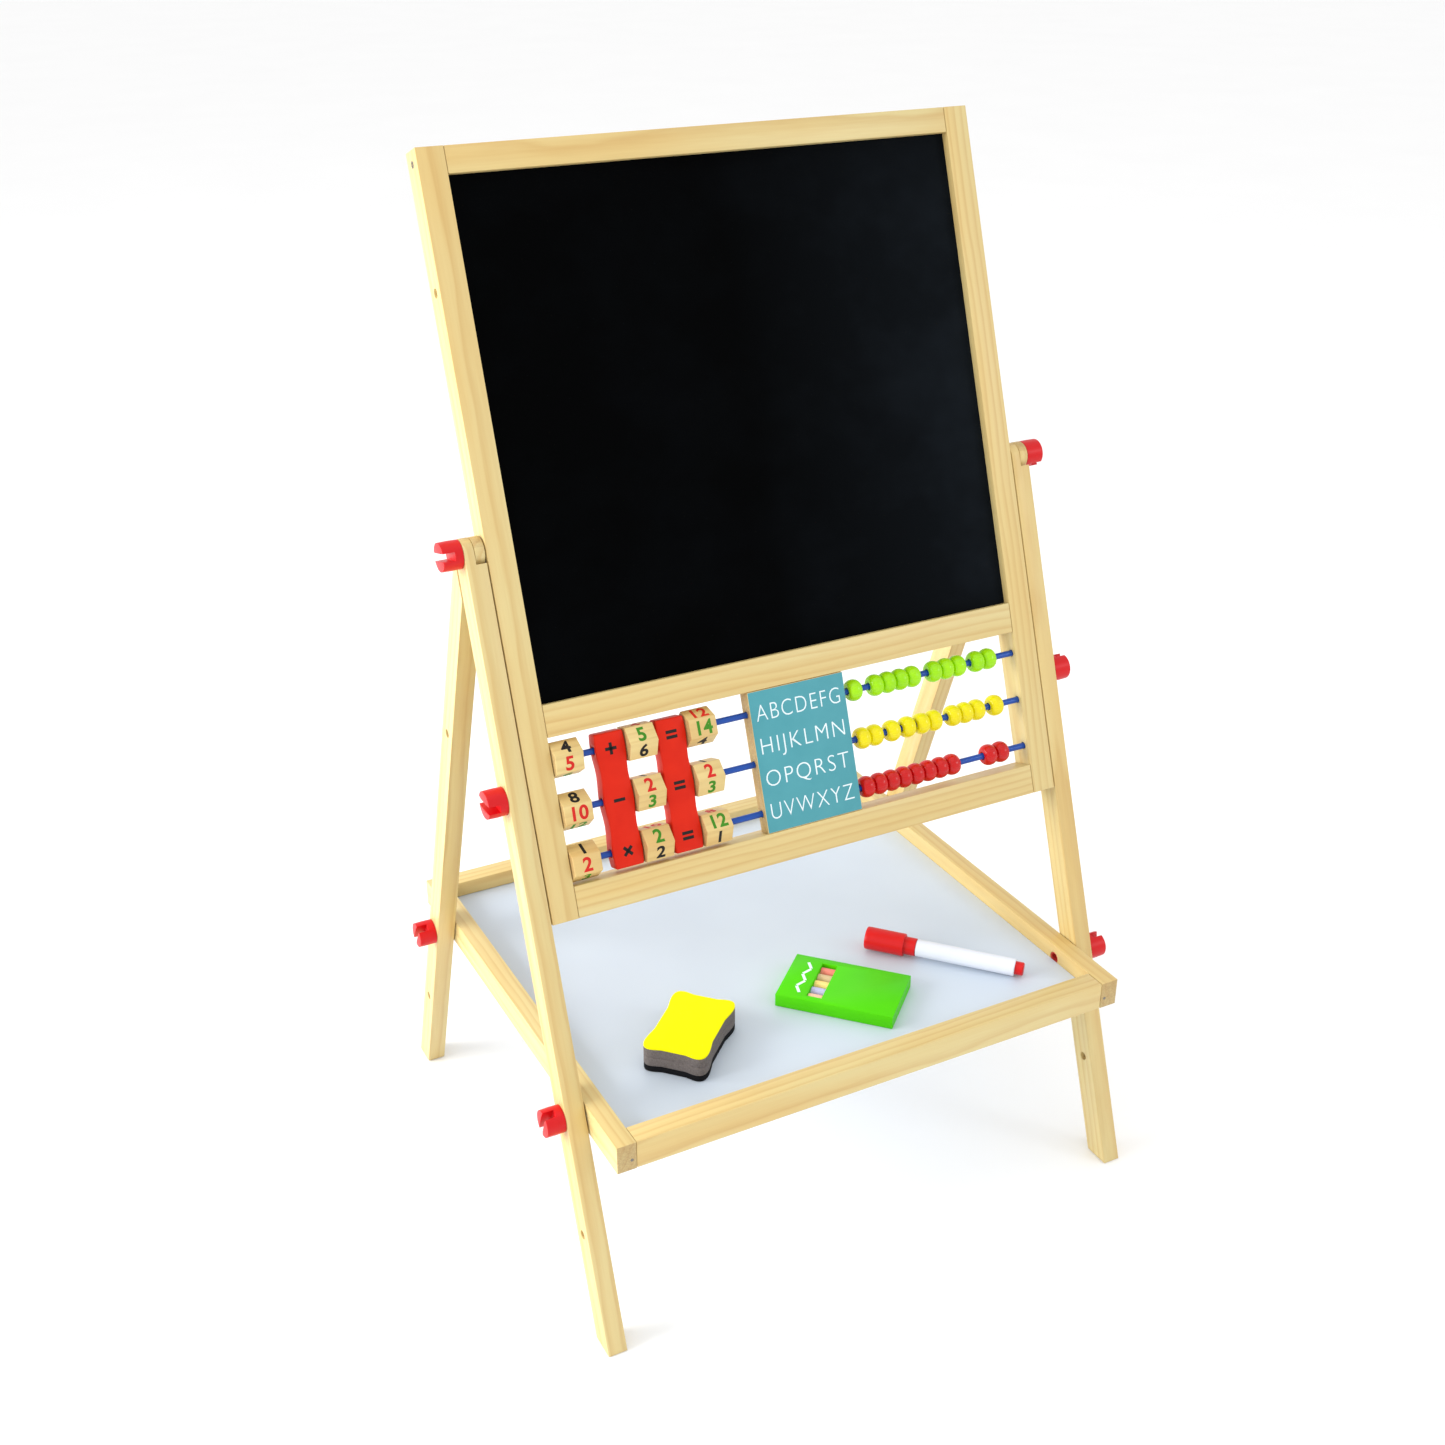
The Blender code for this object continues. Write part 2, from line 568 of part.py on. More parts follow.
def make_marker(red, white, tray_floor):
    """It lies on its cap and on the far end of its barrel, so it slopes a little."""
    cap = CAP_DIAMETER / 2
    barrel = BARREL_DIAMETER / 2
    collar = COLLAR_DIAMETER / 2
    neck = NECK_DIAMETER / 2
    nib = NIB_DIAMETER / 2
    plug = PLUG_DIAMETER / 2
    shoulder = CAP_LENGTH + COLLAR_LENGTH
    tail = MARKER_LENGTH - PLUG_LENGTH
    slope = math.asin((cap - barrel) / (tail - CAP_LENGTH))
    rest = cap + CAP_LENGTH * math.sin(slope) + 2 * FIT_GAP
    place = (TRAY_INSIDE_X - MARKER_PLACE[0], MARKER_PLACE[1] - TRAY_INSIDE_Y, rest)
    axis = axis_empty("marker_axis", place, (0, slope, MARKER_TURN), tray_floor)

    edge = 0.001
    hollow = shoulder - NECK_LENGTH - NIB_LENGTH - FIT_GAP * 4
    cap_profile = [
        (0, 0),
        (0, cap - edge),
        (edge, cap),
        (CAP_LENGTH, cap),
        (CAP_LENGTH, collar),
        (shoulder - FIT_GAP, collar),
        (shoulder - FIT_GAP, neck + RUN_GAP),
        (hollow, neck + RUN_GAP),
        (hollow, 0),
    ]
    piece("marker_cap", mesh_of(turned(cap_profile, KNOB_SIDES), smooth=True), red, axis)
    barrel_profile = [
        (shoulder - NECK_LENGTH - NIB_LENGTH, 0),
        (shoulder - NECK_LENGTH - NIB_LENGTH, nib),
        (shoulder - NECK_LENGTH, nib),
        (shoulder - NECK_LENGTH, neck),
        (shoulder, neck),
        (shoulder, barrel),
        (tail, barrel),
        (tail, plug),
        (MARKER_LENGTH, plug),
        (MARKER_LENGTH, 0),
    ]
    piece("marker_barrel", mesh_of(turned(barrel_profile, KNOB_SIDES), smooth=True), white, axis)


def main():
    clear_scene()
    pine = finish("pine", (0.80, 0.62, 0.36), 0.5)
    black = finish("chalkboard_black", (0.02, 0.02, 0.022), 0.55)
    white = finish("panel_white", (0.78, 0.84, 0.88), 0.3)
    red = finish("red_plastic", (0.75, 0.02, 0.03), 0.35)
    rod_blue = finish("rod_blue", (0.03, 0.16, 0.45), 0.4)
    block_blue = finish("alphabet_blue", (0.10, 0.42, 0.55), 0.5)
    beech = finish("block_wood", (0.82, 0.66, 0.40), 0.5)
    bar_red = finish("bar_red", (0.70, 0.05, 0.02), 0.45)
    lime = finish("chalk_box_green", (0.12, 0.62, 0.01), 0.4)
    yellow_top = finish("eraser_yellow", (0.95, 0.85, 0.0), 0.7)
    beads = {
        "green": finish("bead_green", (0.28, 0.80, 0.01), 0.25),
        "yellow": finish("bead_yellow", (0.95, 0.85, 0.0), 0.25),
        "red": finish("bead_red", (0.70, 0.01, 0.02), 0.25),
    }

    board = axis_empty("board_axis", (0, 0, PIVOT_HEIGHT), (-LEAN, 0, 0))
    front = axis_empty("front_legs_axis", (0, 0, PIVOT_HEIGHT), (-LEAN, 0, 0))
    rear = axis_empty("rear_legs_axis", (0, 0, PIVOT_HEIGHT), (LEAN, 0, 0))
    tray = axis_empty("tray_axis", (0, -TRAY_BOLT_Y, TRAY_Z))
    tray_floor = axis_empty("tray_floor", (0, TRAY_BOLT_Y, TRAY_PANEL_TOP), parent=tray)

    make_legs(pine, front, rear)
    make_stiles(pine, board)
    make_rails(pine, board)
    make_panels(black, white, board)
    make_rods(rod_blue, board)
    make_alphabet_block(block_blue, board)
    make_left_half(beech, bar_red, board)
    make_right_half(beads, board)
    make_tray(pine, white, red, tray)
    make_knobs(red, front, rear)
    make_eraser(yellow_top, tray_floor)
    make_chalk_box(lime, tray_floor)
    make_marker(red, white, tray_floor)


main()
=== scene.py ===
# %% [markdown]
# # A child's table easel, finished piece by piece
# The working frame is already there: every leg, rail, rod, bead and knob, each on the body that moves it.
# This lesson dresses that frame. Each wooden piece gets eased edges and its own growth rings, the beads
# and knobs are turned round and smooth, the blocks get their numbers, and the loose things get their small
# parts. Everything is in metres, +Z up, with the front of the easel towards -Y.

# %% Load the working frame
import json
import math

import bpy
from mathutils import Matrix, Vector


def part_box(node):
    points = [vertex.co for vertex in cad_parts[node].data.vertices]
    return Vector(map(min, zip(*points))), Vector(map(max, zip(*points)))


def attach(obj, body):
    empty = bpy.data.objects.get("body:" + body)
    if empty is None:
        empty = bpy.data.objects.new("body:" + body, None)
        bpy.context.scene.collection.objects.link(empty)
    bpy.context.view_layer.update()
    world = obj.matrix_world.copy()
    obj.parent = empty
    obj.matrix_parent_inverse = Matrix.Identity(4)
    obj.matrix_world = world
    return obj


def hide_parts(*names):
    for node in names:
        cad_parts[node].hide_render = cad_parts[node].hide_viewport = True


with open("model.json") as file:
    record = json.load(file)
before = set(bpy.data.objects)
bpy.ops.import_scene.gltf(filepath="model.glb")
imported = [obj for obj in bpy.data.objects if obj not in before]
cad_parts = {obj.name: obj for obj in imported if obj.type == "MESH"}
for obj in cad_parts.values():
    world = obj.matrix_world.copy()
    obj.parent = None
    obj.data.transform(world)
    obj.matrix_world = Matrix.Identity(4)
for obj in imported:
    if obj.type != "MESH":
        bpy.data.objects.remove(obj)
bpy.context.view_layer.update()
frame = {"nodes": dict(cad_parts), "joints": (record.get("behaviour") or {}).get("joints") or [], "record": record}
bpy.ops.object.select_all(action="DESELECT")
nodes = frame["nodes"]
joints = {joint["name"]: joint for joint in frame["joints"]}
bodies = frame["record"]["behaviour"]["bodies"]
body_of = {node: body for body, members in bodies.items() for node in members}

# %% [markdown]
# ## Where things are
# The board leans back, so its pieces are easiest to place along its own directions. The top and bottom
# rods give them: from one rod to the other is the board's way up, and its front is square to that and to
# the rods.

# %% Find the board's own directions
def middle_of(node):
    """The middle of a node's box at rest."""
    low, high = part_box(node)
    return (low + high) / 2


ACROSS = Vector((1, 0, 0))
UP_BOARD = (middle_of("rod_top") - middle_of("rod_bottom")).normalized()
FRONT = ACROSS.cross(UP_BOARD)
LEAN = math.atan2(UP_BOARD.y, UP_BOARD.z)
MM = 0.001
print("the board leans back", round(math.degrees(LEAN), 1), "degrees")

# %% [markdown]
# ## Camera
# The camera stands to the left of the easel, a little above it, and looks down and across. A normal lens
# keeps the legs from splaying.

# %% Set up the camera
CAMERA_PLACE = (-0.6049, -1.0926, 0.9997)
CAMERA_YAW = 0.4830  # to the right of straight ahead
CAMERA_PITCH = -0.4648
CAMERA_LENS = 44.1
CAMERA_SENSOR = 36

camera = bpy.data.objects.new("camera", bpy.data.cameras.new("camera"))
camera.data.lens = CAMERA_LENS
camera.data.sensor_width = CAMERA_SENSOR
camera.location = CAMERA_PLACE
camera.rotation_euler = (math.pi / 2 + CAMERA_PITCH, 0, -CAMERA_YAW)
bpy.context.collection.objects.link(camera)
bpy.context.scene.camera = camera
print("camera:", CAMERA_LENS, "mm")

# %% [markdown]
# ## Light
# A white sweep and large soft lamps, as in a studio. The strongest is on the left, so that faces turned
# that way go nearly white. A weak cool one on the right puts a second highlight on the beads and knobs.
# The Standard view keeps bright toy colours as they are, where the default one would grey them.

# %% Set up the sweep and the lamps
world = bpy.data.worlds.new("studio")
bpy.context.scene.world = world
world.use_nodes = True
world.node_tree.nodes["Background"].inputs["Color"].default_value = (1, 1, 1, 1)
world.node_tree.nodes["Background"].inputs["Strength"].default_value = 1.0
bpy.context.scene.view_settings.view_transform = "Standard"


def softbox(name, place, target, size, power, colour=(1, 1, 1)):
    """A square lamp at a place, turned to face a target."""
    lamp = bpy.data.lights.new(name, "AREA")
    lamp.size = size
    lamp.energy = power
    lamp.color = colour
    holder = bpy.data.objects.new(name, lamp)
    holder.location = place
    holder.rotation_euler = (Vector(target) - Vector(place)).to_track_quat("-Z", "Y").to_euler()
    bpy.context.collection.objects.link(holder)


EASEL_MIDDLE = (0, 0, 0.4)
softbox("key_left", (-2.6, 0.5, 1.1), EASEL_MIDDLE, 1.6, 84)
softbox("top", (-0.2, -0.3, 2.6), EASEL_MIDDLE, 1.8, 4)
softbox("fill_right", (1.75, -1.75, 1.45), (0.1, 0, 0.6), 0.7, 8, (0.85, 0.93, 1))
print("lamps around", EASEL_MIDDLE)

# %% [markdown]
# ## Shader maths in plain Python
# A material is a net of nodes, and sums are hard to read in it. So one small class stands for a node's
# output and overloads the operators: `1 - mask * 0.3` adds the Math nodes by itself. Colours don't go
# through it, because a Math node would turn them grey: they are mixed instead. Any other node comes from
# one method, which takes the node's type, its settings, and the values or links of its sockets.

# %% Define the socket wrapper
class Value:
    """One output of a node. A sum on it adds the Math node that works it out."""

    def __init__(self, finish, output):
        self.finish = finish
        self.output = output

    def worked(self, operation, *terms):
        return self.finish.node("ShaderNodeMath", {"operation": operation}, dict(enumerate(terms)))

    def __add__(self, other):
        return self.worked("ADD", self, other)

    def __sub__(self, other):
        return self.worked("SUBTRACT", self, other)

    def __rsub__(self, other):
        return self.worked("SUBTRACT", other, self)

    def __mul__(self, other):
        return self.worked("MULTIPLY", self, other)

    def __truediv__(self, other):
        return self.worked("DIVIDE", self, other)

    def __pow__(self, other):
        return self.worked("POWER", self, other)

    __radd__ = __add__
    __rmul__ = __mul__


# %% Define what every finish is built with
def linear(red, green, blue):
    """A colour as seen on a screen, 0 to 255, as the shader wants it."""
    def channel(level):
        level /= 255
        return level / 12.92 if level <= 0.04045 else ((level + 0.055) / 1.055) ** 2.4
    return (channel(red), channel(green), channel(blue), 1)


class Finish:
    """A material and the nodes that it is made of."""

    def __init__(self, name):
        self.material = bpy.data.materials.new(name)
        self.material.use_nodes = True
        self.tree = self.material.node_tree
        self.shader = self.tree.nodes["Principled BSDF"]
        self.place = self.node("ShaderNodeTexCoord", output="Object")

    def plug(self, socket, value):
        if isinstance(value, Value):
            self.tree.links.new(value.output, socket)
        else:
            socket.default_value = value

    def node(self, kind, settings=None, inputs=None, output=0):
        made = self.tree.nodes.new(kind)
        for name, value in (settings or {}).items():
            if name == "stops":
                stops = made.color_ramp.elements
                while len(stops) < len(value):
                    stops.new(1)
                for stop, (at, level) in zip(stops, value):
                    stop.position = at
                    stop.color = (level, level, level, 1)
            else:
                setattr(made, name, value)
        for key, value in (inputs or {}).items():
            self.plug(made.inputs[key], value)
        return Value(self, made.outputs[output])

    def stretched(self, scale, place=None, shift=(0, 0, 0)):
        inputs = {"Vector": place or self.place, "Scale": scale, "Location": shift}
        return self.node("ShaderNodeMapping", None, inputs, "Vector")

    def noise(self, scale, place=None, detail=2.0, roughness=0.5):
        inputs = {"Vector": place or self.place, "Scale": scale, "Detail": detail, "Roughness": roughness}
        return self.node("ShaderNodeTexNoise", None, inputs, 0)

    def ramp(self, value, *stops):
        return self.node("ShaderNodeValToRGB", {"stops": stops}, {0: value}, 0)

    def mix(self, share, first, second):
        """From the first colour at 0 to the second at 1."""
        return self.node("ShaderNodeMix", {"data_type": "RGBA"}, {0: share, 6: first, 7: second}, 2)

    def bump(self, height, distance, strength=1.0):
        inputs = {"Height": height, "Distance": distance, "Strength": strength}
        return self.node("ShaderNodeBump", None, inputs, 0)

    def wear(self, **sockets):
        """Sets the shader's own sockets, by name with _ for each space, and gives the material."""
        for name, value in sockets.items():
            self.plug(self.shader.inputs[name.replace("_", " ")], value)
        return self.material


print("shader helpers ready")

# %% [markdown]
# ## Pine
# The frame is clear-lacquered pine. A plank is cut from a round trunk, so its lines are slices through
# rings: a ring is all that is at one distance from the trunk's middle, the pith. Each piece therefore
# carries an attribute that says where every point lies in its own trunk, with x along the fibres. The rings
# come from the distance to the pith, bent by slow noise, and each ring darkens slowly and ends sharply,
# as summer wood does. Fine fibres run along x, and end grain is darker because it soaks up more lacquer.

# %% Make the pine finish
PINE_PALE = linear(216, 197, 138)
PINE_LINE = linear(190, 144, 72)
PINE_WARM = linear(214, 180, 110)
PINE_END = linear(160, 128, 84)
RING_SPACING = 0.0062
RING_BEND = 0.011  # how far slow noise pushes the rings about


def make_pine(name, pale, line, warm, ring_strength):
    pine = Finish(name)
    grain = pine.node("ShaderNodeAttribute", {"attribute_name": "grain"}, None, "Vector")
    end = pine.node("ShaderNodeAttribute", {"attribute_name": "end_grain"}, None, "Fac")
    bend = pine.noise(1.0, pine.stretched((5, 26, 26), grain), 3.0)
    axes = pine.node("ShaderNodeSeparateXYZ", None, {0: grain}, "Y")
    deep = pine.node("ShaderNodeSeparateXYZ", None, {0: grain}, "Z")
    distance = (axes * axes + deep * deep) ** 0.5 + bend * RING_BEND
    ring = distance / RING_SPACING
    ring = ring.worked("FRACT", ring)
    late = pine.ramp(ring, (0.0, 0.25), (0.12, 0.0), (0.55, 0.22), (0.9, 1.0), (1.0, 0.25))
    fibre = pine.noise(1.0, pine.stretched((30, 800, 800), grain), 2.0)
    streak = pine.noise(1.0, pine.stretched((9, 210, 210), grain), 3.0, 0.6)
    patch = pine.noise(1.0, pine.stretched((4, 30, 30), grain), 2.0)
    blush = pine.ramp(patch, (0.35, 0.0), (0.7, 1.0))
    colour = pine.mix(blush * 0.75, pale, warm)
    share = late * ring_strength + (streak - 0.5) * 0.42 + (fibre - 0.5) * 0.22
    colour = pine.mix(share.worked("MAXIMUM", share, 0.0), colour, line)
    colour = pine.mix(end * (0.55 + (fibre - 0.5) * 0.8), colour, PINE_END)
    height = fibre * 0.5 + late * 0.35
    rough = 0.4 + fibre * 0.12 + end * 0.2
    return pine.wear(
        Base_Color=colour,
        Roughness=rough,
        Normal=pine.bump(height, 0.00012, 0.35),
        Coat_Weight=0.12,
        Coat_Roughness=0.28,
    )


pine = make_pine("lacquered_pine", PINE_PALE, PINE_LINE, PINE_WARM, 0.38)
BLOCK_COLOURS = (linear(224, 200, 134), linear(192, 150, 84), linear(212, 170, 100))
block_wood = make_pine("block_wood", *BLOCK_COLOURS, 0.3)
print("finishes:", pine.name, block_wood.name)

# %% [markdown]
# ## Painted and laminated boards
# The black face is hardboard under a dead black paint with a faint orange peel, dusted here and there by
# old chalk. Towards the right a bluish sheen is painted into its colour, a painted reflection of the studio
# light. The white face and the tray are a dry-wipe laminate: smoother and cooler, with only a slow
# unevenness in its colour and gloss.

# %% Make the boards' finishes
def make_chalkboard_paint():
    paint = Finish("chalkboard_paint")
    peel = paint.noise(620, None, 2.0, 0.45)
    speck = paint.noise(1500, None, 1.0)
    dust = paint.ramp(paint.noise(1.0, paint.stretched((7, 5, 9)), 4.0, 0.6), (0.45, 0.0), (0.85, 1.0))
    across = paint.node("ShaderNodeSeparateXYZ", None, {0: paint.place}, "X")
    # A painted sheen: the colour turns bluish towards the right, a painted reflection of the studio light.
    painted_sheen = paint.ramp(across * 2 + 0.5, (0.5, 0.0), (0.95, 1.0))
    # chalk is the real dust and specks, plus that painted sheen.
    chalk = dust * 0.006 + speck * 0.003 + painted_sheen * (0.02 + dust * 0.03)
    colour = paint.mix(chalk, (0.0005, 0.0005, 0.0005, 1), (0.2, 0.27, 0.36, 1))
    return paint.wear(
        Base_Color=colour,
        Roughness=0.38 + dust * 0.06 + speck * 0.05,
        Normal=paint.bump(peel * 0.8 + speck * 0.2, 0.0002, 0.35),
        Specular_IOR_Level=0.01,
    )


def make_laminate(name, colour, shade, roughness):
    laminate = Finish(name)
    cloud = laminate.noise(6, None, 3.0)
    wave = laminate.noise(90, None, 1.0)
    grey = laminate.mix(laminate.ramp(cloud, (0.3, 0.0), (0.75, 1.0)), colour, shade)
    return laminate.wear(
        Base_Color=grey,
        Roughness=roughness + cloud * 0.1,
        Normal=laminate.bump(wave, 0.0001, 0.12),
    )


chalkboard_paint = make_chalkboard_paint()
dry_wipe = make_laminate("dry_wipe_white", linear(236, 240, 243), linear(228, 233, 238), 0.12)
tray_laminate = make_laminate("tray_laminate", linear(205, 216, 229), linear(197, 208, 222), 0.42)
print("finishes:", chalkboard_paint.name, dry_wipe.name, tray_laminate.name)

# %% [markdown]
# ## Paint on turned wood, and moulded plastic
# The rods, bars and beads are wood under a thick coloured lacquer: glossy, with the wood's fibres just
# telegraphing through. The knobs and the marker are moulded plastic, which has a fine even texture and a
# softer shine. Both are one function each, with the colours and the roughness passed in.

# %% Make the coloured finishes
def make_lacquer(name, colour, deep, roughness, coat=0.3, shine=0.25):
    lacquer = Finish(name)
    fibre = lacquer.noise(1.0, lacquer.stretched((140, 900, 900)), 2.0)
    pool = lacquer.noise(55, None, 2.0)
    tint = lacquer.mix(lacquer.ramp(pool, (0.3, 0.0), (0.75, 1.0)) * 0.6 + fibre * 0.15, colour, deep)
    return lacquer.wear(
        Base_Color=tint,
        Roughness=roughness + fibre * 0.1,
        Normal=lacquer.bump(fibre * 0.6 + pool * 0.4, 0.00012, 0.25),
        Specular_IOR_Level=shine,
        Coat_Weight=coat,
        Coat_Roughness=0.08,
    )


def make_moulded(name, colour, deep, roughness):
    moulded = Finish(name)
    spark = moulded.noise(1400, None, 2.0)
    flow = moulded.noise(70, None, 2.0)
    return moulded.wear(
        Base_Color=moulded.mix(flow * 0.5 + spark * 0.1, colour, deep),
        Roughness=roughness + spark * 0.12,
        Normal=moulded.bump(spark * 0.5 + flow * 0.5, 0.0001, 0.22),
        Specular_IOR_Level=0.3,
    )


lacquers = {
    "rod": make_lacquer("rod_blue_lacquer", linear(8, 76, 172), linear(4, 58, 146), 0.28),
    "bar": make_lacquer("bar_red_lacquer", linear(219, 42, 18), linear(204, 30, 12), 0.36, 0.05, 0.12),
    "green": make_lacquer("lime_lacquer", linear(164, 228, 0), linear(132, 206, 0), 0.22, 0.25),
    "yellow": make_lacquer("yellow_lacquer", linear(236, 224, 0), linear(226, 206, 0), 0.22, 0.25),
    "red": make_lacquer("red_lacquer", linear(204, 12, 12), linear(176, 6, 8), 0.22, 0.25),
    "teal": make_lacquer("alphabet_paint", linear(84, 158, 168), linear(74, 149, 160), 0.4, 0.0, 0.2),
    "print_black": make_lacquer("print_black", linear(28, 26, 26), linear(16, 15, 15), 0.5, 0),
    "print_red": make_lacquer("print_red", linear(214, 38, 30), linear(190, 24, 20), 0.5, 0),
    "print_green": make_lacquer("print_green", linear(66, 140, 30), linear(48, 118, 18), 0.5, 0),
    "print_white": make_lacquer("print_white", linear(232, 244, 246), linear(222, 236, 240), 0.5, 0),
}
knob_plastic = make_moulded("knob_plastic", linear(212, 12, 20), linear(186, 6, 14), 0.32)
nut_plastic = make_moulded("nut_plastic", linear(196, 62, 52), linear(168, 44, 38), 0.4)
marker_red = make_moulded("marker_cap_plastic", linear(212, 22, 24), linear(190, 12, 16), 0.3)
marker_white = make_moulded("marker_barrel_plastic", linear(226, 230, 240), linear(214, 218, 231), 0.25)
print("coloured finishes:", len(lacquers) + 4)

# %% [markdown]
# ## Felt, foam, card, chalk and steel
# The small things need their own surfaces. Felt is short crossed fibres, so two stretched noises cross in
# it. The foam on top is pitted with tiny cells. Card has pulp fibres under its print, chalk is a powder
# with no shine at all, and the nails and screws are dull steel with fine turning marks.

# %% Make the small things' finishes
def make_felt():
    felt = Finish("grey_felt")
    one = felt.noise(1.0, felt.stretched((300, 2600, 900)), 2.0)
    other = felt.noise(1.0, felt.stretched((2600, 300, 900)), 2.0)
    tuft = felt.noise(420, None, 3.0)
    fuzz = one * other * 2 + tuft * 0.5
    colour = felt.mix(fuzz, linear(62, 56, 56), linear(120, 112, 110))
    return felt.wear(Base_Color=colour, Roughness=0.96, Normal=felt.bump(fuzz, 0.0006, 0.7))


def make_foam(name, colour, deep):
    foam = Finish(name)
    inputs = {"Vector": foam.place, "Scale": 1100.0}
    cells = foam.node("ShaderNodeTexVoronoi", {"feature": "F1"}, inputs, "Distance")
    # pits marks the cells' hollows. The bump sinks them and the colour is painted darker there, as shade in them;
    # noise also varies the tone at random.
    pits = foam.ramp(cells, (0.1, 1.0), (0.5, 0.0))
    return foam.wear(
        Base_Color=foam.mix(pits * 0.5 + foam.noise(60) * 0.2, colour, deep),
        Roughness=0.8,
        Normal=foam.bump(1 - pits, 0.0003, 0.35),
        Specular_IOR_Level=0.1,
    )


def make_card():
    card = Finish("printed_card")
    pulp = card.noise(1.0, card.stretched((500, 900, 700)), 3.0)
    print_cloud = card.noise(40, None, 2.0)
    colour = card.mix(print_cloud * 0.6 + pulp * 0.2, linear(86, 212, 0), linear(70, 198, 0))
    return card.wear(
        Base_Color=colour,
        Roughness=0.36 + pulp * 0.12,
        Normal=card.bump(pulp, 0.0001, 0.25),
        Specular_IOR_Level=0.15,
    )


def make_chalk(name, colour):
    chalk = Finish(name)
    grit = chalk.noise(2400, None, 3.0)
    scuff = chalk.noise(260, None, 2.0)
    pale = tuple(min(1, level * 0.6 + 0.4) for level in colour[:3]) + (1,)
    tint = chalk.mix(grit * 0.5 + scuff * 0.3, colour, pale)
    return chalk.wear(Base_Color=tint, Roughness=0.95, Normal=chalk.bump(grit, 0.0002, 0.6))


def make_steel():
    steel = Finish("dull_steel")
    turning = steel.noise(1.0, steel.stretched((300, 300, 4200)), 2.0)
    grey = steel.mix(turning, linear(150, 146, 140), linear(98, 92, 88))
    return steel.wear(
        Base_Color=grey,
        Roughness=0.35 + turning * 0.25,
        Metallic=1.0,
        Normal=steel.bump(turning, 0.0001, 0.3),
    )


felt = make_felt()
yellow_foam = make_foam("yellow_foam", linear(255, 250, 8), linear(246, 232, 0))
black_foam = make_foam("black_base", linear(22, 22, 26), linear(8, 8, 10))
card = make_card()
steel = make_steel()
print("small finishes:", 5)

# %% [markdown]
# ## Modelling helpers
# Every piece ends the same way: named, riding on the body that moves it, and standing in for its node. Two
# helpers do the modelling that comes back most often. One copies a node and turns its loose triangles back
# into clean faces. The other eases sharp edges with a bevel, as sandpaper does, because an edge that is
# perfectly sharp catches no light and looks false.

# %% Define the modelling helpers
def select_only(piece):
    bpy.ops.object.select_all(action="DESELECT")
    piece.select_set(True)
    bpy.context.view_layer.objects.active = piece


def named(name, *materials):
    """Names the active object and gives it its finishes."""
    piece = bpy.context.object
    piece.name = name
    piece.data.name = name
    piece.data.materials.clear()
    for material in materials:
        piece.data.materials.append(material)
    return piece


def close_shell():
    """In edit mode: merges what touches and turns every face outwards."""
    bpy.ops.mesh.select_all(action="SELECT")
    bpy.ops.mesh.remove_doubles(threshold=0.00001)
    bpy.ops.mesh.normals_make_consistent(inside=False)


def pick_faces(piece, wanted):
    """Enters edit mode with only the faces that pass a test."""
    select_only(piece)
    bpy.ops.object.mode_set(mode="EDIT")
    bpy.ops.mesh.select_mode(type="FACE")
    bpy.ops.mesh.select_all(action="DESELECT")
    bpy.ops.object.mode_set(mode="OBJECT")
    for face in piece.data.polygons:
        face.select = wanted(face)
    bpy.ops.object.mode_set(mode="EDIT")


def cut_box(piece, name, place, size):
    """Takes a box out of a piece with a Boolean."""
    bpy.ops.object.select_all(action="DESELECT")
    bpy.ops.mesh.primitive_cube_add(size=1, location=place, scale=size)
    cutter = bpy.context.object
    select_only(piece)
    cut = piece.modifiers.new(name, "BOOLEAN")
    cut.object = cutter
    bpy.ops.object.modifier_apply(modifier=cut.name)
    bpy.data.objects.remove(cutter)


def copy_of(node, name, *materials):
    """A new piece with a node's shape, in clean faces."""
    piece = bpy.data.objects.new(name, nodes[node].data.copy())
    bpy.context.collection.objects.link(piece)
    select_only(piece)
    if piece.data.has_custom_normals:
        bpy.ops.mesh.customdata_custom_splitnormals_clear()
    bpy.ops.object.mode_set(mode="EDIT")
    close_shell()
    bpy.ops.mesh.dissolve_limited(angle_limit=math.radians(1))
    bpy.ops.object.mode_set(mode="OBJECT")
    return named(name, *materials)


def ease(piece, width, segments=2, angle=35):
    """Rounds every edge that is sharper than the angle, and smooths the rest."""
    select_only(piece)
    bevel = piece.modifiers.new("ease", "BEVEL")
    bevel.width = width
    bevel.segments = segments
    bevel.limit_method = "ANGLE"
    bevel.angle_limit = math.radians(angle)
    bpy.ops.object.modifier_apply(modifier=bevel.name)
    bpy.ops.object.shade_smooth_by_angle(angle=math.radians(angle))
    return piece


def put(piece, matrix):
    """Moves a piece into place, and leaves its object at the origin."""
    select_only(piece)
    piece.matrix_world = matrix @ piece.matrix_world
    bpy.ops.object.transform_apply(location=True, rotation=True, scale=True)
    return piece


def duplicate(piece, name):
    """Another piece like this one, with a mesh of its own."""
    other = piece.copy()
    other.data = piece.data.copy()
    other.name = name
    other.data.name = name
    bpy.context.collection.objects.link(other)
    return other


def join(name, pieces):
    """Several pieces as one."""
    bpy.ops.object.select_all(action="DESELECT")
    for piece in pieces:
        piece.select_set(True)
    bpy.context.view_layer.objects.active = pieces[0]
    if len(pieces) > 1:
        bpy.ops.object.join()
    pieces[0].name = name
    pieces[0].data.name = name
    return pieces[0]


def settle(piece, node, replaces=True):
    """The piece rides where its node does, and hides the node when it replaces it."""
    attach(piece, body_of[node])
    if replaces:
        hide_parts(node)
    return piece


print("helpers ready")

# %% [markdown]
# ## The pine pieces
# Fifteen sticks of pine make the easel. Their shapes are right in the frame already, with the half laps,
# grooves and holes, so each is copied and its edges eased. What makes them look like wood is that each is
# cut from its own place in a trunk: the pith is some centimetres away, in a direction of its own, so one
# shows straight lines and the next shows wide flames. The end faces are marked, for the darker end grain.

# %% Make the pine pieces
LEG_WAY = {"front": -1, "rear": 1}


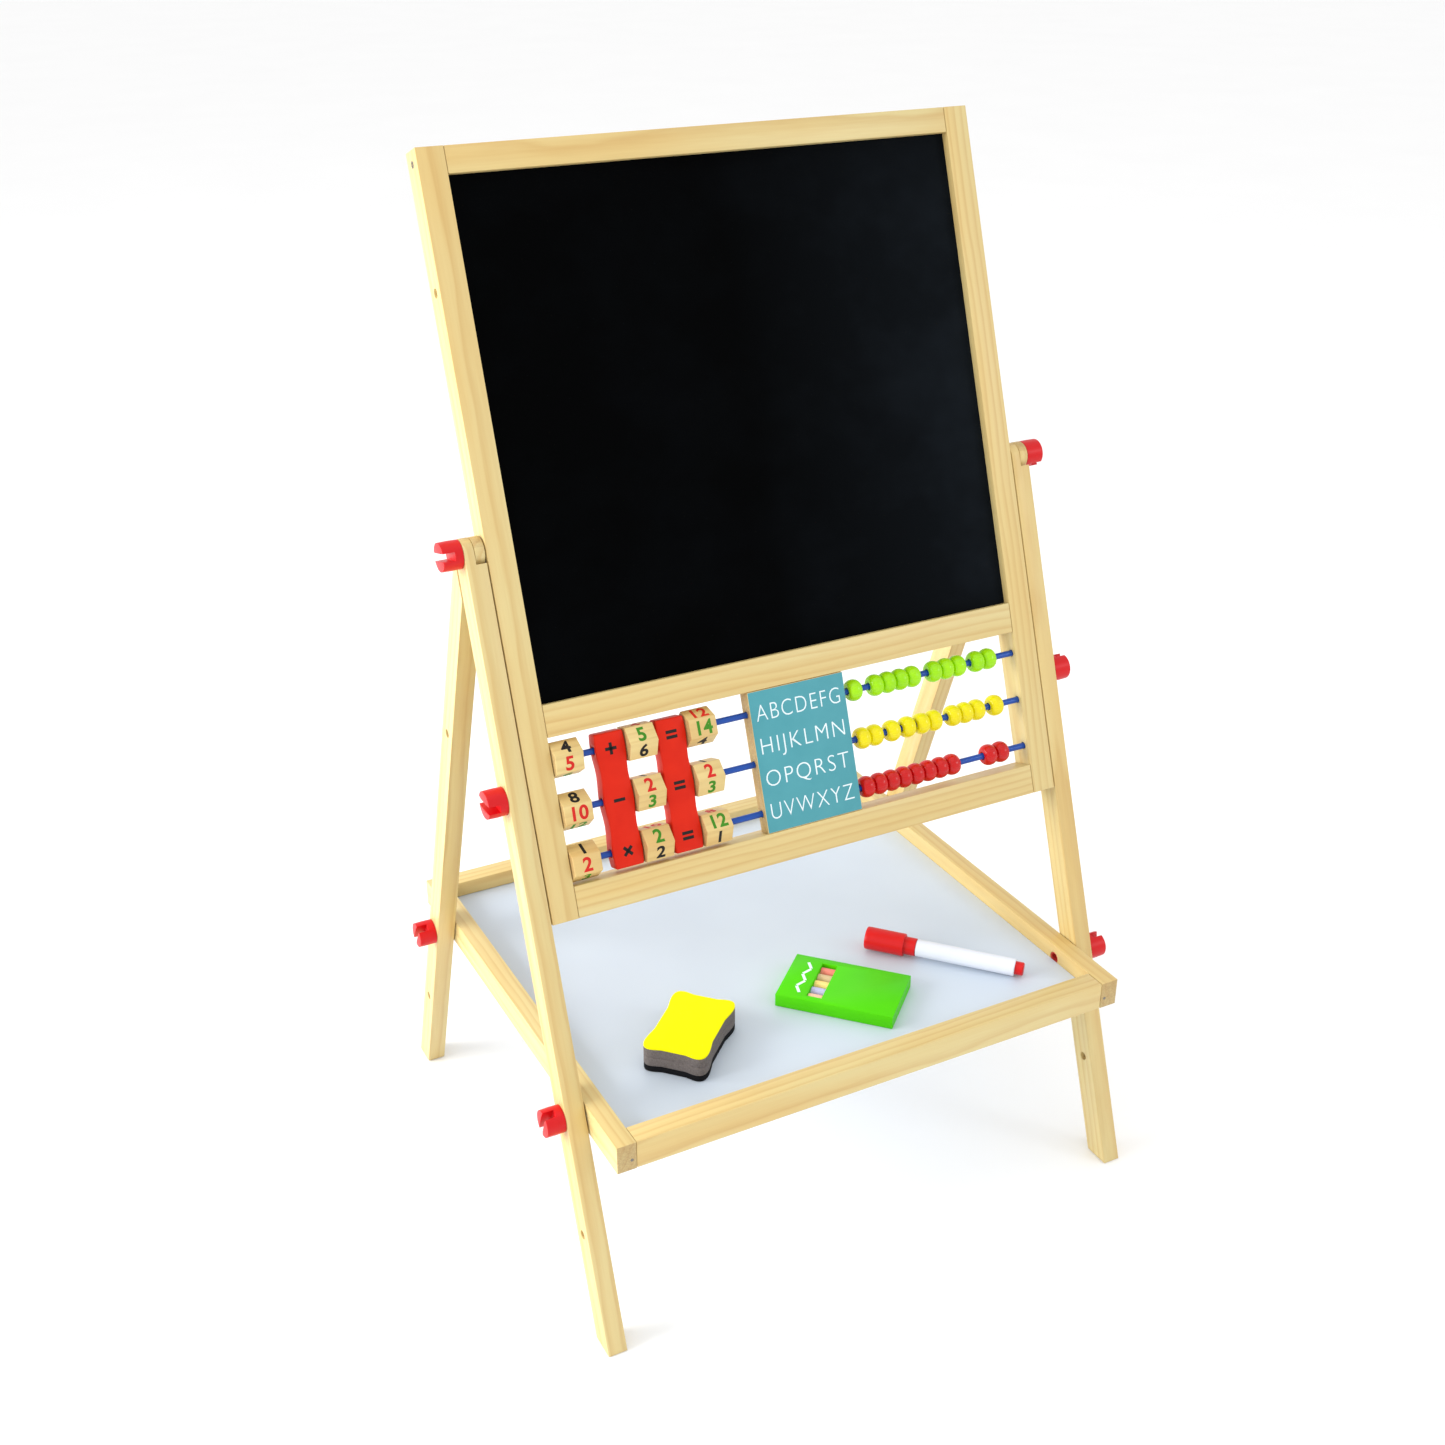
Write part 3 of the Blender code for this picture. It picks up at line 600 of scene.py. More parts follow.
def saw_from_trunk(piece, along, number):
    """Stores where each point lies in the piece's trunk, and which faces are end grain."""
    along = Vector(along).normalized()
    side = along.orthogonal().normalized()
    axes = Matrix((along, side, along.cross(side)))
    low = Vector([min(corner[i] for corner in piece.bound_box) for i in range(3)])
    high = Vector([max(corner[i] for corner in piece.bound_box) for i in range(3)])
    middle = (low + high) / 2
    turn = number * 2.4
    away = 0.028 + 0.011 * (number % 4)
    pith = Vector((number * 0.71, away * math.cos(turn), away * math.sin(turn)))
    grain = piece.data.attributes.new("grain", "FLOAT_VECTOR", "POINT")
    for vertex, item in zip(piece.data.vertices, grain.data):
        item.vector = axes @ (vertex.co - middle) + pith
    ends = piece.data.attributes.new("end_grain", "FLOAT", "FACE")
    for face, item in zip(piece.data.polygons, ends.data):
        item.value = abs(face.normal.dot(along)) ** 6


leg_ways = {end: Vector((0, way * math.sin(LEAN), -math.cos(LEAN))) for end, way in LEG_WAY.items()}
pine_ways = {f"leg_{end}_{side}": leg_ways[end] for end in LEG_WAY for side in ("left", "right")}
pine_ways |= {f"stile_{side}": UP_BOARD for side in ("left", "right")}
pine_ways |= {f"{rail}_rail": ACROSS for rail in ("top", "middle", "bottom", "tray_front", "tray_back")}
pine_ways |= {f"tray_side_{side}": Vector((0, 1, 0)) for side in ("left", "right")}

for number, (node, way) in enumerate(pine_ways.items()):
    stick = ease(copy_of(node, f"pine_{node}", pine), 0.7 * MM)
    saw_from_trunk(stick, way, number)
    settle(stick, node)
print("pine pieces:", len(pine_ways))

# %% [markdown]
# ## The boards
# The black and white faces and the tray's floor are flat sheets held in grooves, so their shapes need
# nothing more: they only get their finishes.

# %% Finish the boards
board_finishes = {"chalkboard": chalkboard_paint, "whiteboard": dry_wipe, "tray_panel": tray_laminate}
for node, finish in board_finishes.items():
    nodes[node].material_slots[0].material = finish
print("boards finished:", len(board_finishes))

# %% [markdown]
# ## Turned pieces
# Rods, beads, knobs, nuts, screws and the marker are all round, so one function turns them. It starts as a
# disc, and each step extrudes its top face to the next height and scales it to the next radius, as a turner
# works along a spindle. For a piece with a hole right through, the last step ends back at the first
# height, the two end faces are deleted, and the open rims are bridged.

# %% Define how a round piece is turned
def turn_piece(name, steps, sides, *materials, through=False):
    """A round piece on the Z axis. Each step is (height, radius)."""
    height, radius = steps[0]
    bpy.ops.object.select_all(action="DESELECT")
    foot = (0, 0, height)
    bpy.ops.mesh.primitive_circle_add(vertices=sides, radius=radius, fill_type="NGON", location=foot)
    bpy.ops.object.transform_apply(location=True, rotation=True, scale=True)
    piece = named(name, *materials)
    bpy.ops.object.mode_set(mode="EDIT")
    bpy.ops.mesh.select_all(action="SELECT")
    for next_height, next_radius in steps[1:]:
        rise = {"value": (0, 0, next_height - height)}
        bpy.ops.mesh.extrude_region_move(TRANSFORM_OT_translate=rise)
        scale = next_radius / radius
        bpy.ops.transform.resize(value=(scale, scale, 1), center_override=(0, 0, next_height))
        height, radius = next_height, next_radius
    if through:
        bpy.ops.object.mode_set(mode="OBJECT")
        pick_faces(piece, lambda face: len(face.vertices) > 4)
        bpy.ops.mesh.delete(type="ONLY_FACE")
        bpy.ops.mesh.select_mode(type="EDGE")
        bpy.ops.mesh.select_all(action="DESELECT")
        bpy.ops.mesh.select_non_manifold()
        bpy.ops.mesh.bridge_edge_loops()
    close_shell()
    bpy.ops.object.mode_set(mode="OBJECT")
    bpy.ops.object.shade_smooth_by_angle(angle=math.radians(35))
    return piece


def stood(start, axis, side=None):
    """The matrix that puts a piece's foot at a point and its Z along an axis."""
    axis = Vector(axis).normalized()
    side = Vector(side).normalized() if side else axis.orthogonal().normalized()
    turn = Matrix((side.cross(axis), side, axis)).transposed().to_4x4()
    return Matrix.Translation(start) @ turn


print("turning ready")

# %% [markdown]
# ## The three rods
# Each is a thin dowel, painted blue, with its ends chamfered so that it starts easily in its socket.

# %% Make the rods
ROWS = ("top", "middle", "bottom")
ROD_TIP = 0.6 * MM

for row in ROWS:
    node = f"rod_{row}"
    low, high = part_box(node)
    length = high.x - low.x
    radius = (high.z - low.z) / 2
    steps = [(0, radius - ROD_TIP), (ROD_TIP, radius)]
    steps += [(length - ROD_TIP, radius), (length, radius - ROD_TIP)]
    rod = turn_piece(f"painted_{node}", steps, 32, lacquers["rod"])
    start = middle_of(node) - ACROSS * length / 2
    settle(put(rod, stood(start, ACROSS)), node)
print("rods:", len(ROWS))

# %% [markdown]
# ## The counting beads
# Thirty beads, ten to a rod, stand in groups. One bead is turned: its side is part of an ellipse, from the
# flat round the hole at one end to the flat at the other, and the hole goes right through. Then it is
# copied along each group, a hair short of its share so that two neighbours never share a face.

# %% Make the beads
BEAD_RADIUS = 8.5 * MM
BEAD_SHARE = 11.3 * MM
BEAD_GAP = 0.12 * MM
BEAD_FLAT = 4.75 * MM
BEAD_BORE = 2.9 * MM
BEAD_RIM = 0.35 * MM
BEAD_STEPS = 16

half = (BEAD_SHARE - BEAD_GAP) / 2
bead_steps = []
for step in range(BEAD_STEPS + 1):
    turn = math.pi * step / BEAD_STEPS
    radius = BEAD_FLAT + (BEAD_RADIUS - BEAD_FLAT) * math.sin(turn)
    bead_steps.append((-half * math.cos(turn), radius))
bead_steps += [(half, BEAD_BORE + BEAD_RIM), (half - BEAD_RIM, BEAD_BORE)]
bead_steps += [(BEAD_RIM - half, BEAD_BORE), (-half, BEAD_BORE + BEAD_RIM)]
bead = turn_piece("bead", bead_steps, 32, lacquers["red"], through=True)

bead_total = 0
for node in [name for name in nodes if "_beads_" in name]:
    low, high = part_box(node)
    colour = node.split("_")[0]
    count = round((high.x - low.x) / BEAD_SHARE)
    group = []
    for number in range(count):
        place = Vector((low.x + BEAD_SHARE * (number + 0.5), middle_of(node).y, middle_of(node).z))
        group.append(put(duplicate(bead, f"{node}_{number}"), stood(place, ACROSS)))
    cluster = join(f"turned_{node}", group)
    cluster.data.materials[0] = lacquers[colour]
    settle(cluster, node)
    bead_total += count
bpy.data.objects.remove(bead)
print("beads:", bead_total)

# %% [markdown]
# ## Raised print
# Numbers and letters are printed with thick paint, so they stand a hair proud. They start as text, which
# has clean outlines, and become a mesh before they are placed. A slight offset of the outline makes the
# strokes heavier or lighter.

# %% Define the raised print
PRINT_RISE = 0.06 * MM
CAPITAL_SHARE = 0.69  # of a capital's height to the text's size


def lettering(words, height, weight, spacing, material):
    """Raised characters that stand on the XY plane, read from above."""
    bpy.ops.object.select_all(action="DESELECT")
    bpy.ops.object.text_add(location=(0, 0, 0))
    text = bpy.context.object
    text.data.body = words
    text.data.align_x = "CENTER"
    text.data.align_y = "BOTTOM_BASELINE"
    text.data.size = height / CAPITAL_SHARE
    text.data.offset = weight
    text.data.space_character = spacing
    text.data.extrude = PRINT_RISE
    text.data.resolution_u = 4
    bpy.ops.object.convert(target="MESH")
    return named("lettering", material)


def facing(centre, normal, up):
    """The matrix that puts flat work on a face, with its Y up the face."""
    normal = Vector(normal).normalized()
    up = Vector(up).normalized()
    turn = Matrix((up.cross(normal), up, normal)).transposed().to_4x4()
    return Matrix.Translation(centre) @ turn


print("print ready")

# %% [markdown]
# ## The number blocks
# Nine six-sided rollers show a sum through the window. Each has a number on all six faces, and black, red
# and green follow each other round it. The frame says how each one stands turned: the lean of one of its
# faces gives the rest, a sixth of a turn at a time.

# %% Make the number blocks
DIGIT_HEIGHT = 10 * MM
DIGIT_WEIGHT = 0.42 * MM  # thickens each stroke by twice this
DIGIT_SPACING = 1.05
SIXTH_TURN = 60  # degrees
LEAST_LEAN = 15  # the upper face leans this far towards the front, or up to a sixth of a turn more
PRINT_COLOURS = ("print_black", "print_red", "print_green")
BLOCK_NUMBERS = {  # the first colour, and the six numbers from the upper face round the front
    (1, 1): (0, (4, 5, 6, 1, 2, 3)),
    (1, 2): (2, (5, 6, 1, 2, 3, 4)),
    (1, 3): (1, (12, 14, 4, 6, 8, 10)),
    (2, 1): (0, (8, 10, 12, 14, 4, 6)),
    (2, 2): (1, (2, 3, 4, 5, 6, 1)),
    (2, 3): (1, (2, 3, 4, 5, 6, 1)),
    (3, 1): (0, (1, 2, 3, 4, 5, 6)),
    (3, 2): (2, (2, 2, 4, 6, 8, 10)),
    (3, 3): (2, (12, 1, 2, 4, 6, 8)),
}


def widest_flat(node):
    """The way that a node's largest face square to the rods looks."""
    flats = [face for face in nodes[node].data.polygons if abs(face.normal.x) < 0.01]
    return max(flats, key=lambda face: face.area).normal


def number_block(row, column, first, numbers):
    node = f"number_block_{row}_{column}"
    centre = middle_of(node)
    flat = widest_flat(node)
    lean = math.degrees(math.atan2(flat.dot(FRONT), flat.dot(UP_BOARD)))
    upper = (lean - LEAST_LEAN) % SIXTH_TURN + LEAST_LEAN
    across_flats = max((vertex.co - centre).dot(flat) for vertex in nodes[node].data.vertices)
    body = ease(copy_of(node, f"faced_{node}", block_wood), 0.9 * MM, 3)
    saw_from_trunk(body, ACROSS, row * 3 + column)
    parts = [body]
    for side, number in enumerate(numbers):
        angle = math.radians(upper + SIXTH_TURN * side)
        normal = UP_BOARD * math.cos(angle) + FRONT * math.sin(angle)
        up = UP_BOARD * math.sin(angle) - FRONT * math.cos(angle)
        colour = lacquers[PRINT_COLOURS[(first + side) % len(PRINT_COLOURS)]]
        digits = lettering(str(number), DIGIT_HEIGHT, DIGIT_WEIGHT, DIGIT_SPACING, colour)
        foot = centre + normal * across_flats - up * DIGIT_HEIGHT / 2
        parts.append(put(digits, facing(foot, normal, up)))
    settle(join(body.name, parts), node)


for (row, column), (first, numbers) in BLOCK_NUMBERS.items():
    number_block(row, column, first, numbers)
print("number blocks:", len(BLOCK_NUMBERS))

# %% [markdown]
# ## The two bars
# Each bar slides on all three rods and carries the signs of the three sums. A sign is a few thick strokes,
# each a thin slab with its edges eased, so that it reads clearly from across a room.

# %% Make the bars and their signs
STROKE_LENGTH = 8.9 * MM
STROKE_WIDTH = 2.4 * MM
STROKE_GAP = 4 * MM
SIGNS = {  # each stroke: its turn in degrees, and how far it stands above the rod
    "plus": ((0, 0), (90, 0)),
    "minus": ((0, 0),),
    "times": ((45, 0), (-45, 0)),
    "equals": ((0, STROKE_GAP / 2), (0, -STROKE_GAP / 2)),
}
BAR_SIGNS = {"operator_bar_signs": ("plus", "minus", "times"), "operator_bar_equals": ("equals",) * 3}


def stroke(turn, rise):
    """One slab of paint, lying on the XY plane."""
    bpy.ops.object.select_all(action="DESELECT")
    bpy.ops.mesh.primitive_cube_add(size=1, scale=(STROKE_LENGTH, STROKE_WIDTH, 2 * PRINT_RISE))
    bpy.ops.object.transform_apply(location=False, rotation=False, scale=True)
    slab = named("stroke", lacquers["print_black"])
    bpy.ops.object.mode_set(mode="EDIT")
    bpy.ops.mesh.select_all(action="SELECT")
    bpy.ops.mesh.bevel(offset=0.04 * MM, segments=1, affect="EDGES")
    bpy.ops.object.mode_set(mode="OBJECT")
    return put(slab, Matrix.Translation((0, rise, 0)) @ Matrix.Rotation(math.radians(turn), 4, "Z"))


for node, signs in BAR_SIGNS.items():
    bar = ease(copy_of(node, f"painted_{node}", lacquers["bar"]), 1.3 * MM, 3)
    face = max((vertex.co - middle_of(node)).dot(FRONT) for vertex in nodes[node].data.vertices)
    parts = [bar]
    for sign, row in zip(signs, ROWS):
        centre = Vector((middle_of(node).x, *middle_of(f"rod_{row}").yz)) + FRONT * face
        for turn, rise in SIGNS[sign]:
            parts.append(put(stroke(turn, rise), facing(centre, FRONT, UP_BOARD)))
    settle(join(bar.name, parts), node)
print("bars:", len(BAR_SIGNS))

# %% [markdown]
# ## The alphabet block
# A wide wooden block in the middle of the window, painted on its front face only, so that its sides stay
# bare wood. The letters are thin and white, and their four rows are stretched to one width.

# %% Make the alphabet block
LETTER_HEIGHT = 12.6 * MM
LETTER_ROWS = ("ABCDEFG", "HIJKLMN", "OPQRST", "UVWXYZ")
LETTER_MARGIN = 5 * MM
LETTER_WEIGHT = -0.3 * MM
LETTER_SPACING = 1.15
FIRST_ROW = 0.155  # its middle, from the block's top edge, as a share of the block's height
ROW_STEP = 0.232

node = "alphabet_block"
block = ease(copy_of(node, "painted_alphabet_block", block_wood, lacquers["teal"]), 0.6 * MM)
saw_from_trunk(block, ACROSS, 5)
for face in block.data.polygons:
    face.material_index = 1 if face.normal.dot(FRONT) > 0.98 else 0
points = [vertex.co - middle_of(node) for vertex in nodes[node].data.vertices]
reach = max(point.dot(FRONT) for point in points)
tall = max(point.dot(UP_BOARD) for point in points)
wide = max(point.x for point in points) - LETTER_MARGIN
parts = [block]
for row, letters in enumerate(LETTER_ROWS):
    line = lettering(letters, LETTER_HEIGHT, LETTER_WEIGHT, LETTER_SPACING, lacquers["print_white"])
    low_x, high_x = (pick(corner[0] for corner in line.bound_box) for pick in (min, max))
    stretch = 2 * wide / (high_x - low_x)
    slide = Matrix.Translation((-(low_x + high_x) / 2, 0, 0))
    widen = Matrix.Diagonal((stretch, 1, 1, 1))
    foot = tall - 2 * tall * (FIRST_ROW + ROW_STEP * row) - LETTER_HEIGHT / 2
    centre = middle_of(node) + FRONT * reach + UP_BOARD * foot
    parts.append(put(line, facing(centre, FRONT, UP_BOARD) @ widen @ slide))
settle(join(block.name, parts), node)
print("letter rows:", len(LETTER_ROWS))

# %% [markdown]
# ## The knobs
# Eight red knobs hold the easel together. Each is a round head moulded on its bolt, with a wide slot across
# its end to grip or to turn with a coin. The head is turned, the slot cut by a Boolean, and every edge
# rounded, because moulded plastic has no sharp ones. The frame's own slot says how each one stands.

# %% Make the knobs
KNOB_HEAD = 15 * MM
KNOB_RADIUS = 10.5 * MM
KNOB_CROWN = 0.5 * MM
SLOT_WIDTH = 6 * MM
SLOT_DEPTH = 9 * MM
BOLT_RADIUS = 3 * MM


def make_knob(name, reach):
    """A knob that stands on the XY plane, with its bolt below it."""
    steps = [
        (-reach, BOLT_RADIUS - 0.5 * MM),
        (-reach + 0.5 * MM, BOLT_RADIUS),
        (0, BOLT_RADIUS),
        (0, KNOB_RADIUS - 0.2 * MM),
        (KNOB_HEAD / 2, KNOB_RADIUS),
        (KNOB_HEAD - KNOB_CROWN, KNOB_RADIUS - 0.2 * MM),
        (KNOB_HEAD, KNOB_RADIUS * 0.55),
    ]
    knob = turn_piece(name, steps, 64, knob_plastic)
    cut_box(knob, "slot", (0, 0, KNOB_HEAD), (4 * KNOB_RADIUS, SLOT_WIDTH, 2 * SLOT_DEPTH))
    return ease(knob, 0.55 * MM, 3, 40)


knob_nodes = [name for name in nodes if name.startswith("knob_")]
for node in knob_nodes:
    low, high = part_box(node)
    axis = Vector(joints[f"{node}_turn"]["axis"])
    foot = Vector(middle_of(node))
    foot.x = (high.x if axis.x > 0 else low.x) - axis.x * KNOB_HEAD
    knob = make_knob(f"moulded_{node}", high.x - low.x - KNOB_HEAD)
    settle(put(knob, stood(foot, axis, widest_flat(node))), node)
print("knobs:", len(knob_nodes))

# %% [markdown]
# ## The tray's nuts
# Where the knobs' bolts enter the tray, a plastic insert sits flush in the inner face of each side rail.
# It is a ring, chamfered at the face that shows, with the bolt's end inside it.

# %% Make the nuts
NUT_BORE = 3.4 * MM
NUT_CHAMFER = 0.4 * MM

nut_nodes = [name for name in nodes if name.startswith("tray_nut_")]
for node in nut_nodes:
    low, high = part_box(node)
    outward = 1 if node.endswith("right") else -1
    length = high.x - low.x
    radius = (high.z - low.z) / 2
    steps = [
        (0, radius - NUT_CHAMFER),
        (NUT_CHAMFER, radius),
        (length, radius),
        (length, NUT_BORE),
        (NUT_CHAMFER, NUT_BORE),
        (0, NUT_BORE + NUT_CHAMFER),
    ]
    nut = turn_piece(f"moulded_{node}", steps, 40, nut_plastic, through=True)
    foot = Vector((low.x if outward > 0 else high.x, middle_of(node).y, middle_of(node).z))
    settle(put(nut, stood(foot, (outward, 0, 0))), node)
print("nuts:", len(nut_nodes))

# %% [markdown]
# ## The marker
# The frame gives the marker's axis, because the cap pulls off along it. The barrel is turned with its tip
# inside the cap and a red plug in its tail. The cap has a wide part with fine grip ribs, and a narrower
# collar.

# %% Make the marker
MARKER_WAY = -Vector(joints["marker_cap_pull"]["axis"]).normalized()


def axis_points(node, axis):
    """Where a round node's axis starts and ends."""
    corners = {tuple(round(part, 6) for part in vertex.co) for vertex in nodes[node].data.vertices}
    corners = [Vector(corner) for corner in sorted(corners)]
    middle = sum(corners, Vector()) / len(corners)
    along = [(corner - middle).dot(axis) for corner in corners]
    return middle + axis * min(along), middle + axis * max(along)


cap_start, cap_end = axis_points("marker_cap", MARKER_WAY)
barrel_start, barrel_end = axis_points("marker_barrel", MARKER_WAY)
CAP_RADIUS = 9.5 * MM
CAP_WIDE = 33 * MM
COLLAR_RADIUS = 7.4 * MM
BARREL_RADIUS = 7.1 * MM
NECK_RADIUS = 5.9 * MM
NIB_RADIUS = 2 * MM
NECK_REACH = 14 * MM
NIB_REACH = 9 * MM
PLUG_RADIUS = 5.5 * MM
PLUG_REACH = 7 * MM
CAP_BORE = 6.3 * MM
CAP_DEPTH = 19.4 * MM  # from its closed end to the bottom of its bore
RIBS = 14
RIB_PITCH = 1.6 * MM
RIB_START = 4 * MM

cap_length = (cap_end - cap_start).length
cap_steps = [
    (0, CAP_RADIUS - 1.1 * MM),
    (0.35 * MM, CAP_RADIUS - 0.45 * MM),
    (1.1 * MM, CAP_RADIUS - 0.1 * MM),
]
for rib in range(RIBS):
    at = RIB_START + rib * RIB_PITCH
    cap_steps += [(at, CAP_RADIUS), (at + RIB_PITCH / 2, CAP_RADIUS - 0.12 * MM)]
cap_steps += [
    (CAP_WIDE - 0.5 * MM, CAP_RADIUS),
    (CAP_WIDE, CAP_RADIUS - 0.5 * MM),
    (CAP_WIDE, COLLAR_RADIUS),
    (cap_length - 0.4 * MM, COLLAR_RADIUS),
    (cap_length, COLLAR_RADIUS - 0.3 * MM),
    (cap_length, CAP_BORE),
    (CAP_DEPTH, CAP_BORE),
]
cap = turn_piece("moulded_marker_cap", cap_steps, 64, marker_red)
settle(put(cap, stood(cap_start, MARKER_WAY)), "marker_cap")

barrel_length = (barrel_end - barrel_start).length
shoulder = NECK_REACH + NIB_REACH
tail = barrel_length - PLUG_REACH
barrel_steps = [
    (0, NIB_RADIUS * 0.6),
    (0.8 * MM, NIB_RADIUS),
    (NIB_REACH, NIB_RADIUS),
    (NIB_REACH, NECK_RADIUS - 0.6 * MM),
    (NIB_REACH + 0.6 * MM, NECK_RADIUS),
    (shoulder, NECK_RADIUS),
    (shoulder, BARREL_RADIUS - 0.3 * MM),
    (shoulder + 0.3 * MM, BARREL_RADIUS),
    (tail - 0.5 * MM, BARREL_RADIUS),
    (tail, BARREL_RADIUS - 0.5 * MM),
]
plug_steps = [
    (tail - 1 * MM, PLUG_RADIUS),
    (barrel_length - 0.8 * MM, PLUG_RADIUS),
    (barrel_length, PLUG_RADIUS - 0.8 * MM),
]
barrel = turn_piece("moulded_marker_barrel", barrel_steps, 64, marker_white)
plug = turn_piece("marker_plug", plug_steps, 64, marker_red)
place = stood(barrel_start, MARKER_WAY)
whole = join("moulded_marker_barrel", [put(barrel, place), put(plug, place)])
settle(whole, "marker_barrel")
print("marker:", round(barrel_length * 1000), "mm barrel under a", round(cap_length * 1000), "mm cap")

# %% [markdown]
# ## The eraser
# It is a sandwich: a firm yellow pad on top, two thick layers of grey felt, and a thin black base. All have
# the same waisted outline, so the frame's solid is copied once for each layer and bisected above and below
# it, with the cut closed each time. Easing each layer leaves the fine seam between them.

# %% Make the eraser
ERASER_LAYERS = (  # name, height in mm of its underside and of its top, finish, easing in mm
    ("base", 0.0, 5.2, black_foam, 0.8),
    ("felt", 5.2, 12.8, felt, 0.5),
    ("felt_top", 12.8, 20.2, felt, 0.5),
    ("pad", 20.2, 22.0, yellow_foam, 0.5),
)


def cut_level(height, keep_above):
    """Closes the mesh in edit mode at a height, and keeps one side of the cut."""
    bpy.ops.mesh.select_all(action="SELECT")
    sides = {"clear_inner": keep_above, "clear_outer": not keep_above}
    bpy.ops.mesh.bisect(plane_co=(0, 0, height), plane_no=(0, 0, 1), use_fill=True, **sides)


low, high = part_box("eraser")
layers = []
for name, bottom, top, finish, easing in ERASER_LAYERS:
    layer = copy_of("eraser", f"eraser_{name}", finish)
    bpy.ops.object.mode_set(mode="EDIT")
    if bottom > 0:
        cut_level(low.z + bottom * MM, True)
    if low.z + top * MM < high.z - 0.1 * MM:
        cut_level(low.z + top * MM, False)
    bpy.ops.object.mode_set(mode="OBJECT")
    layers.append(ease(layer, easing * MM, 3, 50))
settle(join("layered_eraser", layers), "eraser")
print("eraser layers:", len(layers))

# %% [markdown]
# ## The chalk box
# A flat carton with a window near one end, where five sticks of chalk show. It starts as a box of the size
# in the frame. A Boolean cuts the window, and each end face is inset and pushed in a little, as a tucked
# flap is. A few white strokes decorate the lid. It is made level and square, and turned into place last.

# %% Make the chalk box
BOX_WIDE = 60 * MM
WINDOW_SIZE = Vector((12.5, 47, 0)) * MM
WINDOW_FROM_END = 30 * MM
WINDOW_FLOOR = 1.2 * MM
STICK_RADIUS = 4.1 * MM
BAND_FROM_END = 15 * MM
BAND_STROKES = 5
BAND_STEP = 8.6 * MM
BAND_TILT = 60  # degrees
STICKS = (
    ("coral", linear(238, 96, 60)),
    ("sand", linear(206, 170, 110)),
    ("yellow", linear(250, 214, 90)),
    ("lilac", linear(176, 176, 226)),
    ("peach", linear(250, 190, 150)),
)

low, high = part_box("chalk_box")
box_centre = middle_of("chalk_box")
long_faces = [face for face in nodes["chalk_box"].data.polygons if abs(face.normal.z) < 0.01]
ends = sorted(long_faces, key=lambda face: -abs((face.center - box_centre).dot(face.normal)))
box_way = ends[0].normal.copy()
if box_way.x < 0:
    box_way = -box_way
box_half = abs((ends[0].center - box_centre).dot(box_way))
BOX_UP = Vector((0, 0, 1))
box_side = BOX_UP.cross(box_way)
to_box = Matrix.Translation(box_centre) @ Matrix((box_way, box_side, BOX_UP)).transposed().to_4x4()
box_high = high.z - low.z

bpy.ops.object.select_all(action="DESELECT")
bpy.ops.mesh.primitive_cube_add(size=1, scale=(2 * box_half, BOX_WIDE, box_high))
bpy.ops.object.transform_apply(location=False, rotation=False, scale=True)
carton = named("folded_chalk_box", card)
window_at = (WINDOW_FROM_END - box_half, 0, box_high / 2)
cut_box(carton, "window", window_at, (WINDOW_SIZE.x, WINDOW_SIZE.y, 2 * (box_high - WINDOW_FLOOR)))
pick_faces(carton, lambda face: abs(face.normal.x) > 0.99 and abs(face.center.x) > box_half - 0.1 * MM)
bpy.ops.mesh.inset(thickness=0.7 * MM, depth=-0.35 * MM, use_individual=True)
bpy.ops.object.mode_set(mode="OBJECT")
put(ease(carton, 0.35 * MM, 2, 40), to_box)

parts = [carton]
pitch = WINDOW_SIZE.y / len(STICKS)
for number, (name, colour) in enumerate(STICKS):
    length = WINDOW_SIZE.x - 0.4 * MM
    steps = [(0, STICK_RADIUS - 0.5 * MM), (0.5 * MM, STICK_RADIUS), (length, STICK_RADIUS)]
    stick = turn_piece("stick", steps, 28, make_chalk(f"chalk_{name}", colour))
    across = WINDOW_SIZE.y / 2 - (number + 0.5) * pitch
    lying = WINDOW_FLOOR - box_high / 2 + STICK_RADIUS + 0.1 * MM
    foot = Vector((WINDOW_FROM_END - box_half - length / 2, across, lying))
    parts.append(put(stick, to_box @ stood(foot, (1, 0, 0))))

for number in range(BAND_STROKES):
    across = (number - (BAND_STROKES - 1) / 2) * BAND_STEP
    slab = stroke(BAND_TILT if number % 2 else -BAND_TILT, 0)
    slab.data.materials[0] = lacquers["print_white"]
    spot = Matrix.Translation((BAND_FROM_END - box_half, across, box_high / 2))
    parts.append(put(slab, to_box @ spot))
settle(join("folded_chalk_box", parts), "chalk_box")
print("chalk sticks:", len(STICKS))

# %% [markdown]
# ## Screws and nails
# Screws through the stiles hold the board's rails, and a nail pins each corner of the tray. A screw's
# head is a low dome with a cross cut into it, and stands less proud than the gap to the leg.

# %% Make the screws and nails
SCREW_RADIUS = 2.6 * MM
SCREW_PROUD = 0.25 * MM
CROSS = (3.4 * MM, 0.6 * MM)
NAIL_RADIUS = 1.3 * MM
NAIL_IN = 11.5 * MM
NAIL_DROP = 3 * MM


